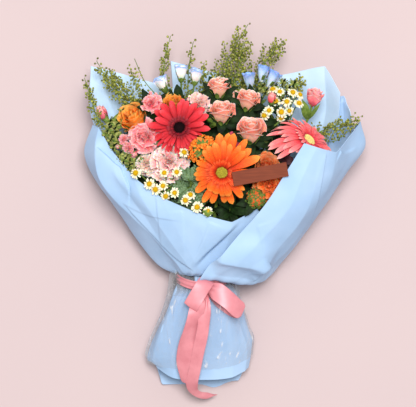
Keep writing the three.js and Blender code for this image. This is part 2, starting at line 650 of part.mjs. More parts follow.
function tag() {
  const TAG = { long: 81, wide: 21, thick: 1.6, at: [52, 54, 167.6], turn: 10.5, rise: 4 };
  const outline = new THREE.Shape();
  outline.moveTo(-TAG.long / 2, -TAG.wide / 2);
  outline.lineTo(TAG.long / 2, -TAG.wide / 2);
  outline.lineTo(TAG.long / 2, TAG.wide / 2);
  outline.lineTo(-TAG.long / 2, TAG.wide / 2);
  return new THREE.ExtrudeGeometry(outline, { depth: TAG.thick, bevelEnabled: false })
    .rotateY(-THREE.MathUtils.degToRad(TAG.rise))
    .rotateZ(THREE.MathUtils.degToRad(TAG.turn))
    .translate(...TAG.at);
}

// ---- The bouquet ----

const bouquet = new THREE.Group();

function add(name, geometry, colour, { roughness = 0.8, opacity = 1 } = {}) {
  const material = new THREE.MeshStandardMaterial({
    color: colour, roughness, metalness: 0, opacity, transparent: opacity < 1,
  });
  const mesh = new THREE.Mesh(geometry, material);
  mesh.name = name;
  bouquet.add(mesh);
}

const stems = [
  ...BLOOMS.map(([name, kind, at, facing, r, colour, leaves]) => (
    { name, colour, ...bloomStem(kind, at, facing, r, leaves) })),
  ...SPRAYS.map(([name, kind, fork, r, stemRadius, colour, heads]) => (
    { name, colour, ...spray(kind, fork, heads, r, stemRadius) })),
  ...SPRIGS.map(([name, line, pods]) => ({ name, colour: GREEN.pod, ...podSprig(line, pods) })),
  ...LEAFY.map(([name, colour, line, leaves]) => ({ name, colour, ...foliage(line, leaves) })),
];

packBundle(stems);
settle(stems);
stems.forEach((stem, order) => add(stem.name, stem.build(route(stem, order)), stem.colour));

for (const [name, plan] of Object.entries(SHEETS)) add(name, paperSheet(plan), PAPER.colour);

add("paper_skirt", sheet(skirt(SKIRT_RINGS, {
  columns: 28, grow: 0, floor: 2.6, gathers: 7, endBack: 12,
}), PAPER.thick, true), PAPER.colour);

add("cellophane", sheet(skirt(SKIRT_RINGS.slice(0, -1), {
  columns: 24, grow: 2.6, floor: 0.4, gathers: 0, endBack: 0,
}), FILM.thick, true), FILM.colour, { roughness: 0.1, opacity: 0.4 });

const bundleRadius = Math.max(...stems.map((stem) => stem.slot.length() + stem.radius)) + 0.5;
const bandRing = [-TIE.width / 2, TIE.width / 2].map((offset) => {
  const line = [];
  const COLUMNS = 24;
  const mid = bundleRadius + TIE.thick / 2;
  for (let i = 0; i < COLUMNS; i++) line.push(neckAt(mid, TIE.y - offset, (360 * i) / COLUMNS));
  return line;
});
add("binding_tie", sheet(bandRing, TIE.thick, true), "#d9cfae");
add("satin_ribbon", ribbonBow(), RIBBON.colour, { roughness: 0.4 });
add("place_tag", tag(), "#8c4128", { roughness: 0.6 });

export default bouquet;
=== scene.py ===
# A mixed flower bouquet in a pale blue paper wrap, tied with a satin ribbon and lying on its back:
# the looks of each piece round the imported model. Places are in millimetres, as in the model's source,
# and become metres where a mesh is made. +Y runs from the cut stems to the blooms, +Z up.
import itertools
import math
import random

import bpy
import numpy as np
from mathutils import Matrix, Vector, noise


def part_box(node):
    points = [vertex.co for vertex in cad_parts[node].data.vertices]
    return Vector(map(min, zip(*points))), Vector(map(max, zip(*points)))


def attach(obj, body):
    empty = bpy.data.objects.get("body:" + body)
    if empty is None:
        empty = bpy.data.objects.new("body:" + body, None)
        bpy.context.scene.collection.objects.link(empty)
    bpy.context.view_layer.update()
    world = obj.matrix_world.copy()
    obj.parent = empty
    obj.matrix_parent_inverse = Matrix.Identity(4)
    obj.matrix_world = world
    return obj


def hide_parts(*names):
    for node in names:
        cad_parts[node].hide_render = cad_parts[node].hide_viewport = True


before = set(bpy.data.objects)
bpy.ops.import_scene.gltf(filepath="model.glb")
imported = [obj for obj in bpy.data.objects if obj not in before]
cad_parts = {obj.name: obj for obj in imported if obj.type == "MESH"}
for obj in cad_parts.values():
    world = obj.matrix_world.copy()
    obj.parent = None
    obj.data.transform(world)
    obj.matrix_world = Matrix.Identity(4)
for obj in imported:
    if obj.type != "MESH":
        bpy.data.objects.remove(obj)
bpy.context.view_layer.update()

MM = 0.001
GOLDEN = 2.39996  # radians from one part to the next round a stem
TIE = (-32, -100, 47)  # the middle of the tie
CARD_TURN = 10.5  # degrees that the card lies turned, seen from above


# ---- Small helpers ----

def colour(code):
    """The linear colour of an sRGB code such as #b9d9f4."""
    parts = [int(code[i:i + 2], 16) / 255 for i in (1, 3, 5)]
    linear = [p / 12.92 if p <= 0.04045 else ((p + 0.055) / 1.055) ** 2.4 for p in parts]
    return (*linear, 1.0)


def smooth(low, high, x):
    """0 below low, 1 above high, and a smooth step between."""
    t = np.clip((np.asarray(x, float) - low) / (high - low), 0, 1)
    return t * t * (3 - 2 * t)


def spline(points, count):
    """Centripetal Catmull-Rom through points along the first axis, count steps in all."""
    p = np.asarray(points, float)
    p = np.concatenate([[2 * p[0] - p[1]], p, [2 * p[-1] - p[-2]]])
    spans = len(p) - 3
    gap = np.sqrt(np.maximum(np.linalg.norm(p[1:] - p[:-1], axis=-1, keepdims=True), 1e-9))
    place = np.linspace(0, spans, count + 1)
    k = np.minimum(place.astype(int), spans - 1)
    t = (place - k).reshape(-1, *[1] * (p.ndim - 1))
    a, b, c, d = p[k], p[k + 1], p[k + 2], p[k + 3]
    g0, g1, g2 = gap[k], gap[k + 1], gap[k + 2]
    m1 = ((b - a) / g0 - (c - a) / (g0 + g1) + (c - b) / g1) * g1
    m2 = ((c - b) / g1 - (d - b) / (g1 + g2) + (d - c) / g2) * g1
    return ((2 * t ** 3 - 3 * t ** 2 + 1) * b + (t ** 3 - 2 * t ** 2 + t) * m1
            + (3 * t ** 2 - 2 * t ** 3) * c + (t ** 3 - t ** 2) * m2)


def unit(v):
    v = np.asarray(v, float)
    return v / np.maximum(np.linalg.norm(v, axis=-1, keepdims=True), 1e-12)


def basis(facing, roll=0.0):
    """Rows are the x, y and z axes of a shape that looks along facing."""
    z = unit(facing)
    side = np.array([1.0, 0, 0]) if abs(z[0]) < 0.9 else np.array([0, 1.0, 0])
    y = unit(np.cross(z, side))
    x = np.cross(y, z)
    c, s = math.cos(roll), math.sin(roll)
    return np.array([c * x + s * y, c * y - s * x, z])


def polar(radius, turn, height=0.0):
    """Points at a radius and a turn about the third axis."""
    return np.stack(np.broadcast_arrays(radius * np.cos(turn), radius * np.sin(turn), height), -1)


def round_tie(radius, turn, y):
    """Points at a radius and a turn about the tie's axis."""
    x, z = TIE[0] + radius * np.cos(turn), TIE[2] + radius * np.sin(turn)
    return np.stack(np.broadcast_arrays(x, y, z), -1)


def full_circle(columns):
    return 2 * math.pi * np.arange(columns) / columns


def along_and_across(rows, columns):
    """A grid's places: 0 to 1 down its rows, and -1 to 1 over its columns."""
    return np.linspace(0, 1, rows + 1)[:, None], np.linspace(-1, 1, columns + 1)[None, :]


def turned_about_z(points, angle):
    c, s = math.cos(angle), math.sin(angle)
    x, y, z = points[..., 0], points[..., 1], points[..., 2]
    return np.stack([c * x - s * y, s * x + c * y, z], -1)


def wobble(points, scale, seed):
    """Smooth noise from -1 to 1 at each point, with features about scale mm long."""
    flat = points.reshape(-1, 3) / scale + seed * 7.3
    return np.array([noise.noise(Vector(p)) for p in flat]).reshape(points.shape[:-1])


def placed(name, data):
    """An object made of the data, in the scene."""
    made = bpy.data.objects.new(name, data)
    bpy.context.scene.collection.objects.link(made)
    return made


class Piece:
    """Gathers grids of points into one mesh. Each point has a mark for the materials: how far along
    its petal it is, how far across, and its petal's own chance number."""

    def __init__(self, node):
        self.node = node
        self.name = node + "_visual"
        self.random = random.Random(self.name + "0")
        self.draw = self.random.uniform
        self.points, self.marks, self.quads, self.triangles = [], [], [], []
        self.quad_slots, self.triangle_slots = [], []
        self.count = 0
        self.stem = None  # the points of the stem taken over from the node

    def add_points(self, points, marks):
        start = self.count
        self.points.append(points.reshape(-1, 3))
        self.marks.append(np.broadcast_to(marks, (*points.shape[:-1], 3)).reshape(-1, 3))
        self.count += self.points[-1].shape[0]
        return start

    def grid(self, points, slot=0, chance=None, wrap=False):
        """A net of rows by columns. With wrap, the last column joins the first."""
        rows, columns = points.shape[:2]
        if chance is None:
            chance = self.random.random()
        marks = np.empty((rows, columns, 3))
        marks[..., 0] = np.linspace(0, 1, rows)[:, None]
        marks[..., 1] = np.linspace(0, 1, columns)[None, :]
        marks[..., 2] = chance
        start = self.add_points(points, marks)
        j, i = np.meshgrid(np.arange(rows - 1), np.arange(columns if wrap else columns - 1), indexing="ij")
        i2 = (i + 1) % columns
        near, far = j * columns, (j + 1) * columns
        quads = np.stack([near + i, near + i2, far + i2, far + i], -1).reshape(-1, 4) + start
        self.quads.append(quads)
        self.quad_slots.append(np.full(len(quads), slot))

    def mesh(self, points, triangles, slot, mark):
        start = self.add_points(points, np.array(mark))
        self.triangles.append(triangles + start)
        self.triangle_slots.append(np.full(len(triangles), slot))

    def finish(self, materials):
        """The object, in metres, riding on the body and standing for its CAD node."""
        data = bpy.data.meshes.new(self.name)
        points = np.concatenate(self.points) * MM
        quads = np.concatenate(self.quads) if self.quads else np.empty((0, 4), int)
        triangles = np.concatenate(self.triangles) if self.triangles else np.empty((0, 3), int)
        loops = np.concatenate([quads.ravel(), triangles.ravel()])
        starts = np.concatenate([4 * np.arange(len(quads)), 4 * len(quads) + 3 * np.arange(len(triangles))])
        slots = np.concatenate([*self.quad_slots, *self.triangle_slots])
        data.vertices.add(len(points))
        data.vertices.foreach_set("co", points.ravel())
        data.loops.add(len(loops))
        data.loops.foreach_set("vertex_index", loops.astype(np.int32))
        data.polygons.add(len(starts))
        data.polygons.foreach_set("loop_start", starts.astype(np.int32))
        data.polygons.foreach_set("material_index", slots.astype(np.int32))
        data.update(calc_edges=True)
        data.validate()
        layer = data.attributes.new("mark", "FLOAT_VECTOR", "POINT")
        layer.data.foreach_set("vector", np.concatenate(self.marks).astype(np.float32).ravel())
        data.shade_smooth()
        for material in materials:
            data.materials.append(material)
        made = placed(self.name, data)
        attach(made, "root")
        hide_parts(self.node)
        return made


# ---- Materials ----

class Nodes:
    """A new material's nodes, made and joined in one call each."""

    def __init__(self, name):
        self.material = bpy.data.materials.new(name)
        self.material.use_nodes = True
        self.tree = self.material.node_tree
        self.shader = self.tree.nodes["Principled BSDF"]

    def add(self, kind, inputs=(), **settings):
        made = self.tree.nodes.new("ShaderNode" + kind)
        for key, value in settings.items():
            setattr(made, key, value)
        for key, value in dict(inputs).items():
            self.put(made.inputs[key], value)
        return made

    def put(self, socket, value):
        if isinstance(value, bpy.types.NodeSocket):
            self.tree.links.new(value, socket)
        else:
            socket.default_value = value

    def ramp(self, factor, stops):
        made = self.add("ValToRGB", {"Fac": factor})
        points = made.color_ramp.elements
        while len(points) < len(stops):
            points.new(0.5)
        for point, (place, code) in zip(points, stops):
            point.position = place
            point.color = colour(code)
        return made.outputs["Color"]

    def math(self, operation, a, b=0.0):
        made = self.add("Math", operation=operation)
        self.put(made.inputs[0], a)
        self.put(made.inputs[1], b)
        return made.outputs[0]

    def vary(self, base, factor, darker, lighter):
        """base with its value scaled from darker to lighter as factor goes from 0 to 1."""
        value = self.add("MapRange", {"Value": factor, "To Min": darker, "To Max": lighter}).outputs["Result"]
        return self.add("HueSaturation", {"Color": base, "Value": value}).outputs["Color"]

    def marks(self):
        split = self.add("SeparateXYZ")
        mark = self.add("Attribute", attribute_name="mark")
        self.put(split.inputs[0], mark.outputs["Vector"])
        return split.outputs["X"], split.outputs["Y"], split.outputs["Z"]

    def noise(self, scale, detail=3.0, vector=None, rough=0.55):
        if vector is None:
            vector = self.add("TexCoord").outputs["Object"]
        made = self.add("TexNoise", {"Vector": vector, "Scale": scale, "Detail": detail, "Roughness": rough})
        return made.outputs["Fac"]

    def bump(self, height, strength, distance):
        made = self.add("Bump", {"Height": height, "Strength": strength, "Distance": distance})
        self.put(self.shader.inputs["Normal"], made.outputs["Normal"])

    def set(self, **values):
        for key, value in values.items():
            self.put(self.shader.inputs[key.replace("_", " ")], value)
        return self.material


def petal_material(name, stops, streaks=16, depth=0.25, soft=0.35, contrast=0.2):
    """Petal colour from base to tip, with fine veins that run along it."""
    n = Nodes(name)
    along, across, chance = n.marks()
    place = n.add("CombineXYZ", {
        "X": n.math("MULTIPLY", across, streaks),
        "Y": n.math("MULTIPLY", along, 1.6),
        "Z": n.math("MULTIPLY", chance, 40.0)}).outputs[0]
    veins = n.noise(1.0, 2.0, place)
    mottle = n.noise(180.0, 2.0)
    base = n.ramp(along, stops)
    base = n.vary(base, veins, 1 - contrast, 1 + contrast)
    base = n.vary(base, mottle, 0.92, 1.08)
    base = n.vary(base, chance, 0.88, 1.08)
    n.bump(veins, depth, 0.0006)
    return n.set(Base_Color=base, Roughness=0.6, Specular_IOR_Level=0.25,
                 Subsurface_Weight=soft, Subsurface_Scale=0.003)


def green_material(name, dark, light, scale=120.0, varied=(0.75, 1.2), gloss=0.35):
    """Leaf and stem tissue: mottled green, a paler midrib line and fine ribs."""
    n = Nodes(name)
    along, across, chance = n.marks()
    mottle = n.noise(scale, 3.0)
    base = n.ramp(mottle, [(0.3, dark), (0.7, light)])
    base = n.vary(base, chance, *varied)
    middle = n.math("ABSOLUTE", n.math("SUBTRACT", across, 0.5))
    rib = n.math("LESS_THAN", middle, 0.045)
    base = n.vary(base, rib, 1.0, 1.25)
    slanted = n.math("ADD", n.math("MULTIPLY", middle, 3.0), n.math("MULTIPLY", along, -5.0))
    place = n.add("CombineXYZ", {"X": slanted}).outputs[0]
    ribs = n.add("TexWave", {"Vector": place, "Scale": 3.0}).outputs["Fac"]
    n.bump(n.math("ADD", n.math("MULTIPLY", ribs, 0.4), mottle), 0.25, 0.0005)
    return n.set(Base_Color=base, Roughness=0.55, Specular_IOR_Level=gloss)


def disc_material(name, centre, rim):
    """The middle of a composite flower, from its centre to its rim."""
    n = Nodes(name)
    along, _, chance = n.marks()
    base = n.ramp(along, [(0.0, centre), (1.0, rim)])
    base = n.vary(base, n.noise(900.0, 2.0), 0.6, 1.4)
    base = n.vary(base, chance, 0.8, 1.2)
    n.bump(n.noise(1500.0, 1.0), 0.4, 0.0004)
    return n.set(Base_Color=base, Roughness=0.7, Specular_IOR_Level=0.08)


def paper_material(name, dark, light):
    """Matt paper: faint clouds of tone, fine fibre and a soft crumple."""
    n = Nodes(name)
    cloud = n.noise(14.0, 3.0)
    fibre = n.noise(1400.0, 2.0)
    crumple = n.noise(60.0, 4.0, rough=0.6)
    base = n.ramp(cloud, [(0.35, dark), (0.65, light)])
    base = n.vary(base, fibre, 0.965, 1.03)
    n.bump(n.math("ADD", crumple, n.math("MULTIPLY", fibre, 0.05)), 0.22, 0.0016)
    return n.set(Base_Color=base, Roughness=0.62, Specular_IOR_Level=0.32)


def satin_material():
    """Satin: threads across its width, soft tones, and darker selvedges."""
    n = Nodes("pink_satin")
    along, across, _ = n.marks()
    place = n.add("CombineXYZ", {
        "X": n.math("MULTIPLY", along, 260.0), "Y": n.math("MULTIPLY", across, 40.0)}).outputs[0]
    threads = n.noise(1.0, 1.0, place)
    soft = n.noise(45.0, 3.0)
    base = n.ramp(soft, [(0.3, "#d27e87"), (0.7, "#e6969e")])
    base = n.vary(base, threads, 0.94, 1.06)
    edge = n.math("GREATER_THAN", n.math("ABSOLUTE", n.math("SUBTRACT", across, 0.5)), 0.455)
    base = n.vary(base, edge, 1.0, 0.9)
    n.bump(n.math("ADD", threads, n.math("MULTIPLY", soft, 2.0)), 0.2, 0.0006)
    return n.set(Base_Color=base, Roughness=0.46, Specular_IOR_Level=0.55, Metallic=0.15)


def film_material(name, seen_through):
    """Clear crinkled film: see-through, with gloss that grows towards its edges, painted glints in streaks
    and painted shade in its crinkles.
    """
    n = Nodes(name)
    place = n.add("TexCoord").outputs["Object"]
    drawn = n.add("Mapping", {"Vector": place, "Scale": (1.0, 0.28, 1.0)}).outputs[0]
    crinkle = n.noise(55.0, 1.5, drawn)
    fine = n.noise(160.0, 1.0, drawn)
    n.bump(n.math("ADD", crinkle, n.math("MULTIPLY", fine, 0.25)), 1.0, 0.006)
    # The film is a little greyer in the hollows of its crinkles: painted shade.
    tone = n.ramp(crinkle, [(0.3, "#eef3f7"), (0.7, "#ffffff")])
    n.set(Base_Color=tone, Roughness=0.1, Specular_IOR_Level=0.9)
    along, _, _ = n.marks()
    clear = n.add("BsdfTransparent", {"Color": n.ramp(along, [(0.5, seen_through), (0.95, "#f0f2f4")])})
    # Streaks of noise where the film turns opaque white: painted glints.
    streaks = n.noise(105.0, 2.0, drawn)
    painted_glint = n.add("MapRange", {"Value": streaks, "From Min": 0.62, "From Max": 0.72}).outputs[0]
    edge = n.math("MULTIPLY", n.add("LayerWeight", {"Blend": 0.3}).outputs["Facing"], 0.35)
    share = n.math("ADD", n.math("ADD", n.math("MULTIPLY", painted_glint, 0.55), edge), FILM_LEAST_GLOSS)
    mixed = n.add("MixShader", {0: share, 1: clear.outputs[0], 2: n.shader.outputs[0]})
    n.put(n.tree.nodes["Material Output"].inputs["Surface"], mixed.outputs[0])
    return n.material


def card_material():
    """Brown board with a grain along its length."""
    n = Nodes("brown_card")
    place = n.add("TexCoord").outputs["Object"]
    turned = (0, 0, math.radians(-CARD_TURN))
    drawn = n.add("Mapping", {"Vector": place, "Rotation": turned, "Scale": (60.0, 900.0, 60.0)}).outputs[0]
    grain = n.add("TexNoise", {"Vector": drawn, "Scale": 1.0, "Detail": 4.0}).outputs["Fac"]
    base = n.ramp(grain, [(0.3, "#6a2e19"), (0.7, "#7e3a20")])
    n.bump(grain, 0.15, 0.0004)
    return n.set(Base_Color=base, Roughness=0.6, Specular_IOR_Level=0.2)


def cord_material():
    """Pale twisted cord."""
    n = Nodes("binding_cord")
    twist = n.add("TexWave", {"Scale": 300.0, "Vector": n.add("TexCoord").outputs["Object"]}).outputs["Fac"]
    base = n.ramp(twist, [(0.2, "#b9ad86"), (0.8, "#dcd2b0")])
    n.bump(twist, 0.5, 0.0006)
    return n.set(Base_Color=base, Roughness=0.8)


def floor_material():
    n = Nodes("pale_pink_floor")
    base = n.ramp(n.noise(3.0, 2.0), [(0.3, "#c6b4b5"), (0.7, "#c8b6b6")])
    return n.set(Base_Color=base, Roughness=0.9, Specular_IOR_Level=0.1)


GREEN = green_material("fresh_green", "#43601f", "#7d9440")
# Dark leaves: a real dark green, darkened to near black as painted shade where they fill gaps.
DARK_LEAF_AND_SHADE = green_material("dark_leaf_and_painted_shade", "#081104", "#1e3614", gloss=0.12)
POD = green_material("pod_yellow_green", "#59651f", "#a0a048", scale=300.0, varied=(0.5, 1.6))
PALE = green_material("pale_grey_green", "#4a6743", "#7d9a6e")
BURGUNDY = green_material("burgundy_leaf", "#2e1418", "#63303a")
MOSS = green_material("yellow_green_filler", "#68712c", "#a6a860", scale=400.0, varied=(0.5, 1.5))

# The petals' colours from base to tip. A gerbera's rays are deeply veined, a rose's or a carnation's
# petals hardly.
VEINED = {"depth": 0.7, "contrast": 0.5}
SOFT = {"streaks": 5, "soft": 0.6, "contrast": 0.1}
CRIMSON = petal_material(
    "crimson_petal", [(0.0, "#5c0510"), (0.28, "#b01220"), (0.75, "#d82a36"), (1.0, "#e8525a")], **VEINED)
ORANGE = petal_material(
    "orange_petal", [(0.0, "#b02204"), (0.35, "#e6460a"), (0.75, "#f46c1a"), (1.0, "#fd9a3e")], **VEINED)
CORAL = petal_material(
    "coral_petal", [(0.0, "#d8283c"), (0.35, "#ef505a"), (0.8, "#fb7f80"), (1.0, "#ffbcb4")], **VEINED)
CRIMSON_DEEP = petal_material("crimson_inner_petal", [(0.0, "#260408"), (0.5, "#76101c"), (1.0, "#ac2230")])
ORANGE_DEEP = petal_material("orange_inner_petal", [(0.0, "#7c1404"), (0.5, "#d8360a"), (1.0, "#f8682a")])
CORAL_DEEP = petal_material("coral_inner_petal", [(0.0, "#b01c2c"), (0.5, "#e8434f"), (1.0, "#fb7c78")])
# The palest stop, at each petal's tip and rolled-back rim, is a painted highlight.
PEACH = petal_material(
    "peach_petal",
    [(0.0, "#fbcca4"), (0.3, "#ffc0a0"), (0.72, "#ffbca4"), (0.9, "#ff9880"), (1.0, "#ffe8dc")],
    streaks=5, depth=0.12, soft=0.45, contrast=0.08)
BLUSH = petal_material(
    "blush_petal", [(0.0, "#eecbb0"), (0.4, "#ffb0a6"), (0.85, "#ffcac0"), (1.0, "#ffe6de")], **SOFT)
PINK = petal_material(
    "pink_petal", [(0.0, "#f04c62"), (0.5, "#ff7682"), (0.85, "#ff969a"), (1.0, "#ffc8c6")], **SOFT)
VARIEGATED = petal_material(
    "variegated_petal", [(0.0, "#f47884"), (0.5, "#ffa0a6"), (0.82, "#ffc8c2"), (1.0, "#ffeae2")], **SOFT)
CREAM = petal_material(
    "cream_petal", [(0.0, "#e8b8a4"), (0.5, "#f4bfae"), (0.85, "#f8d2c2"), (1.0, "#fdeade")], **SOFT)
WINE = petal_material("wine_petal", [(0.0, "#7b1230"), (0.6, "#c42c50"), (1.0, "#e25c74")])
FLAME = petal_material(
    "flame_petal", [(0.0, "#ee5a0c"), (0.45, "#ff7a1a"), (0.85, "#ff9c38"), (1.0, "#ffbe68")], soft=0.6)
RUST = petal_material(
    "rust_petal", [(0.0, "#ff6a28"), (0.45, "#ff7e3c"), (0.85, "#ff9450"), (1.0, "#ffbc8c")],
    streaks=6, soft=0.6, contrast=0.08)
EMBER = petal_material(
    "ember_petal", [(0.0, "#f04812"), (0.45, "#fa6526"), (0.85, "#fc7a38"), (1.0, "#ffa468")],
    streaks=6, soft=0.5, contrast=0.12)
WHITE = petal_material("white_ray", [(0.0, "#e0d292"), (0.4, "#f3e9c6"), (1.0, "#fdf6de")], depth=0.4)
TINTED = petal_material(
    "tinted_petal", [(0.0, "#e6e2c8"), (0.55, "#fbf7ee"), (0.88, "#eef2fb"), (1.0, "#8fb6f2")])
BLUE = petal_material("blue_petal", [(0.0, "#f2f4f4"), (0.4, "#d3e3f8"), (0.8, "#b7cff3"), (1.0, "#88aeec")])

DARK_DISC = disc_material("dark_disc", "#060203", "#1c060b")
OLIVE_DISC = disc_material("olive_disc", "#8f8a2e", "#b9a83a")
CREAM_DISC = disc_material("cream_disc", "#dccb74", "#eddd96")
YELLOW_DISC = disc_material("yellow_disc", "#c49a08", "#dcb41a")

PAPER = paper_material("blue_wrapping_paper", "#9fbfe1", "#acc9e9")
# A paler copy of the same paper for the back and side sheets, which lie in shade: painted light.
PAPER_PAINTED_LIGHT = paper_material("blue_paper_painted_light", "#bfddfb", "#cce7ff")
SATIN = satin_material()
FILM_LEAST_GLOSS = 0.06
FILM = film_material("clear_film", "#edf0f3")
GATHERED_FILM = film_material("gathered_film", "#c6b5ac")
CARD = card_material()
CORD = cord_material()


# ---- Shapes shared by the plants ----

# Material slots. A plant piece has three of its own, then these two: green, and dark leaf with painted shade.
GREEN_SLOT, DARK_LEAF_AND_SHADE_SLOT = 3, 4


def tube(piece, line, radius, slot=0, sides=8, end_radius=None, steps=None):
    """A round stem along a line, which may thin towards its end."""
    line = np.asarray(line, float)
    if steps:
        line = spline(line, steps)
    ahead = unit(np.gradient(line, axis=0))
    side = np.cross(ahead[0], [0.3, 0.2, 1.0])
    radii = np.linspace(radius, radius if end_radius is None else end_radius, len(line))
    turn = full_circle(sides)[:, None]
    rings = []
    for point, direction, r in zip(line, ahead, radii):
        side = unit(side - direction * np.dot(side, direction))
        other = np.cross(direction, side)
        rings.append(point + r * (np.cos(turn) * side + np.sin(turn) * other))
    piece.grid(np.array(rings), slot, wrap=True)


def lathe(piece, profile, columns, at, axes, slot=0, chance=None, size=1.0):
    """A body of revolution about the third axis, from (radius, height) pairs in shares of the size."""
    radius, height = size * np.array(profile, float).T[:, :, None]
    piece.grid(polar(radius, full_circle(columns), height) @ axes + at, slot, chance, wrap=True)


BLADE_WIDEST = 0.45  # the share of a leaf's length at which it is widest


def blade(piece, base, tip, width, slot=0, up=(0, 0, 1), arch=0.12, fold=0.18, wave=0.0, rows=10, columns=6):
    """A pointed leaf from base to tip: its midrib arches, its halves fold up, its edges may wave."""
    base, tip = np.asarray(base, float), np.asarray(tip, float)
    length = np.linalg.norm(tip - base)
    ahead = unit(tip - base)
    across = unit(np.cross(ahead, up))
    normal = np.cross(across, ahead)
    t, a = along_and_across(rows, columns)
    past = np.maximum(t - BLADE_WIDEST, 0) / (1 - BLADE_WIDEST)
    outline = np.where(t < BLADE_WIDEST, np.sin(0.5 * math.pi * (0.12 + 0.88 * t / BLADE_WIDEST)),
                       np.cos(0.5 * math.pi * past ** 1.35))
    half = 0.5 * width * np.maximum(outline, 0.03)
    phase = piece.draw(0, 6)
    lift = (arch * length * np.sin(math.pi * t) + fold * half * np.abs(a)
            + wave * width * np.sin(9 * t + phase + 2 * a) * a * a)
    net = base + ahead * (t * length)[..., None] + across * (half * a)[..., None] + normal * lift[..., None]
    piece.grid(net, slot)


RAY_WIDEST = 0.62  # the share of a ray's length at which it is widest
RAY_GROOVE = 0.025  # the depth of its grooves, as a share of its width


def ray(length, width, rise, fall, rows=10, columns=6, waist=0.35, cup=0.15, power=1.3, twist=0.0):
    """A flower's ray petal along +Y. Its slope goes from rise at the base to fall at the tip."""
    t, a = along_and_across(rows, columns)
    swell = waist + (1 - waist) * smooth(0, RAY_WIDEST, t)
    close = (1 - np.clip((t - RAY_WIDEST) / (1 - RAY_WIDEST), 0, 1) ** 2.6) ** 0.55
    half = 0.5 * width * swell * np.maximum(close, 0.05)
    slope = rise + (fall - rise) * t ** power
    step = length / rows
    ahead = np.concatenate([[[0.0]], np.cumsum(np.cos(slope[1:]) * step, 0)])
    up = np.concatenate([[[0.0]], np.cumsum(np.sin(slope[1:]) * step, 0)])
    x = half * a + twist * width * t ** 2
    z = up + cup * half * a ** 2 - RAY_GROOVE * width * np.cos(3 * math.pi * a) * np.sin(math.pi * t)
    return np.stack([x, ahead + 0 * a, z], -1)


def ring_of_rays(piece, at, axes, count, start, height, length, width, slot, rise, fall, **shape):
    """A row of rays, start mm from the middle and height mm above it."""
    for k in range(count):
        turn = 2 * math.pi * (k + piece.draw(-0.18, 0.18)) / count
        petal = ray(length * (1 + piece.draw(-0.06, 0.06)), width * (1 + piece.draw(-0.12, 0.12)),
                    rise + piece.draw(-0.08, 0.08), fall + piece.draw(-0.15, 0.15),
                    twist=piece.draw(-0.12, 0.12), **shape)
        petal = petal + (0, start, height)
        piece.grid(turned_about_z(petal, turn - math.pi / 2) @ axes + at, slot)


BEAD_PROFILE = [(1, -0.2), (0.8, 0.7), (0.05, 1.15)]


def seeded_dome(piece, at, axes, radius, height, count, bead, slot, base):
    """A dome covered with small beads set in golden-angle spirals."""
    rise = np.linspace(1, 0.02, 9)
    lathe(piece, [(radius * r, base + height * math.sqrt(1 - r * r)) for r in rise], 24, at, axes, slot, 0.3)
    for k in range(count):
        share = math.sqrt((k + 0.5) / count)
        spot = polar(radius * share, k * GOLDEN, base + height * math.sqrt(1 - share * share))
        lathe(piece, BEAD_PROFILE, 5, spot @ axes + at, axes, slot, size=bead * (0.75 + 0.5 * share))


# ---- Stems taken over from the CAD nodes ----

RIM_DEPTH = 8  # mm in Y over which the cut edges of a stem count as its upper rim


def stem_of(piece, limit, slot=GREEN_SLOT, head=None):
    """Adds the stem of the piece's node, without its head and what lies past the limit in Y, and
    returns the middle of the ring where it was cut. The head: its middle, the way it faces and how far
    behind its middle the stem ends."""
    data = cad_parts[piece.node].data
    points = np.empty(len(data.vertices) * 3)
    data.vertices.foreach_get("co", points)
    points = points.reshape(-1, 3) / MM
    data.calc_loop_triangles()
    triangles = np.empty(len(data.loop_triangles) * 3, np.int32)
    data.loop_triangles.foreach_get("vertices", triangles)
    points, index = np.unique(points.round(3), axis=0, return_inverse=True)
    triangles = index.reshape(-1)[triangles.reshape(-1, 3)]
    keep = points[:, 1] < limit
    if head:
        at, facing, back = head
        keep &= (points - at) @ unit(facing) < -back
    triangles = triangles[keep[triangles].all(1)]
    triangles = triangles[(triangles != np.roll(triangles, 1, axis=1)).all(1)]
    edges = np.sort(triangles[:, [0, 1, 1, 2, 2, 0]].reshape(-1, 2), axis=1)
    pairs, uses = np.unique(edges, axis=0, return_counts=True)
    rim = np.unique(pairs[uses == 1])
    used, again = np.unique(triangles, return_inverse=True)
    piece.mesh(points[used], again.reshape(-1, 3), slot, (0.5, 0.2, piece.random.random()))
    piece.stem = points[used]
    top = points[rim]
    return top[top[:, 1] > top[:, 1].max() - RIM_DEPTH].mean(0)


def stem_point(piece, below):
    """The middle of the taken-over stem, below mm under its upper end in Y."""
    y = piece.stem[:, 1].max() - below
    near = np.exp(-((piece.stem[:, 1] - y) / 9.0) ** 2)[:, None]
    return (piece.stem * near).sum(0) / near.sum()


def stem_leaves(piece, count, reach_down, length, width):
    """Dark leaves, near black as painted shade, down the taken-over stem, over the last reach_down mm of it.
    """
    for k in range(count):
        base = stem_point(piece, reach_down * (k + 0.5) / count)
        turn = k * GOLDEN + piece.draw(-0.4, 0.4)
        out = np.array([math.cos(turn), 0.35 + 0.8 * math.sin(turn), 0.1 + piece.draw(-0.2, 0.4)])
        tip = base + unit(out) * length * piece.draw(0.7, 1.15)
        tip[2] = max(tip[2], 4.0)
        blade(piece, base, tip, width * piece.draw(0.75, 1.2), DARK_LEAF_AND_SHADE_SLOT,
              arch=piece.draw(0.05, 0.2), wave=0.05)


def under_leaves(piece, start, neck, count, length, width, slot, lift=0.1):
    """Leaves round the last stretch of a stem, below its bloom."""
    for k in range(count):
        share = 0.25 + 0.75 * k / max(1, count - 1)
        base = start + (neck - start) * share
        turn = k * GOLDEN + piece.draw(-0.4, 0.4)
        reach = length * piece.draw(0.75, 1.15)
        out = polar(1, turn, lift + piece.draw(-0.15, 0.25))
        blade(piece, base, base + unit(out) * reach, width * piece.draw(0.8, 1.2), slot,
              arch=piece.draw(0.05, 0.2), wave=0.05)


# ---- Blooms ----

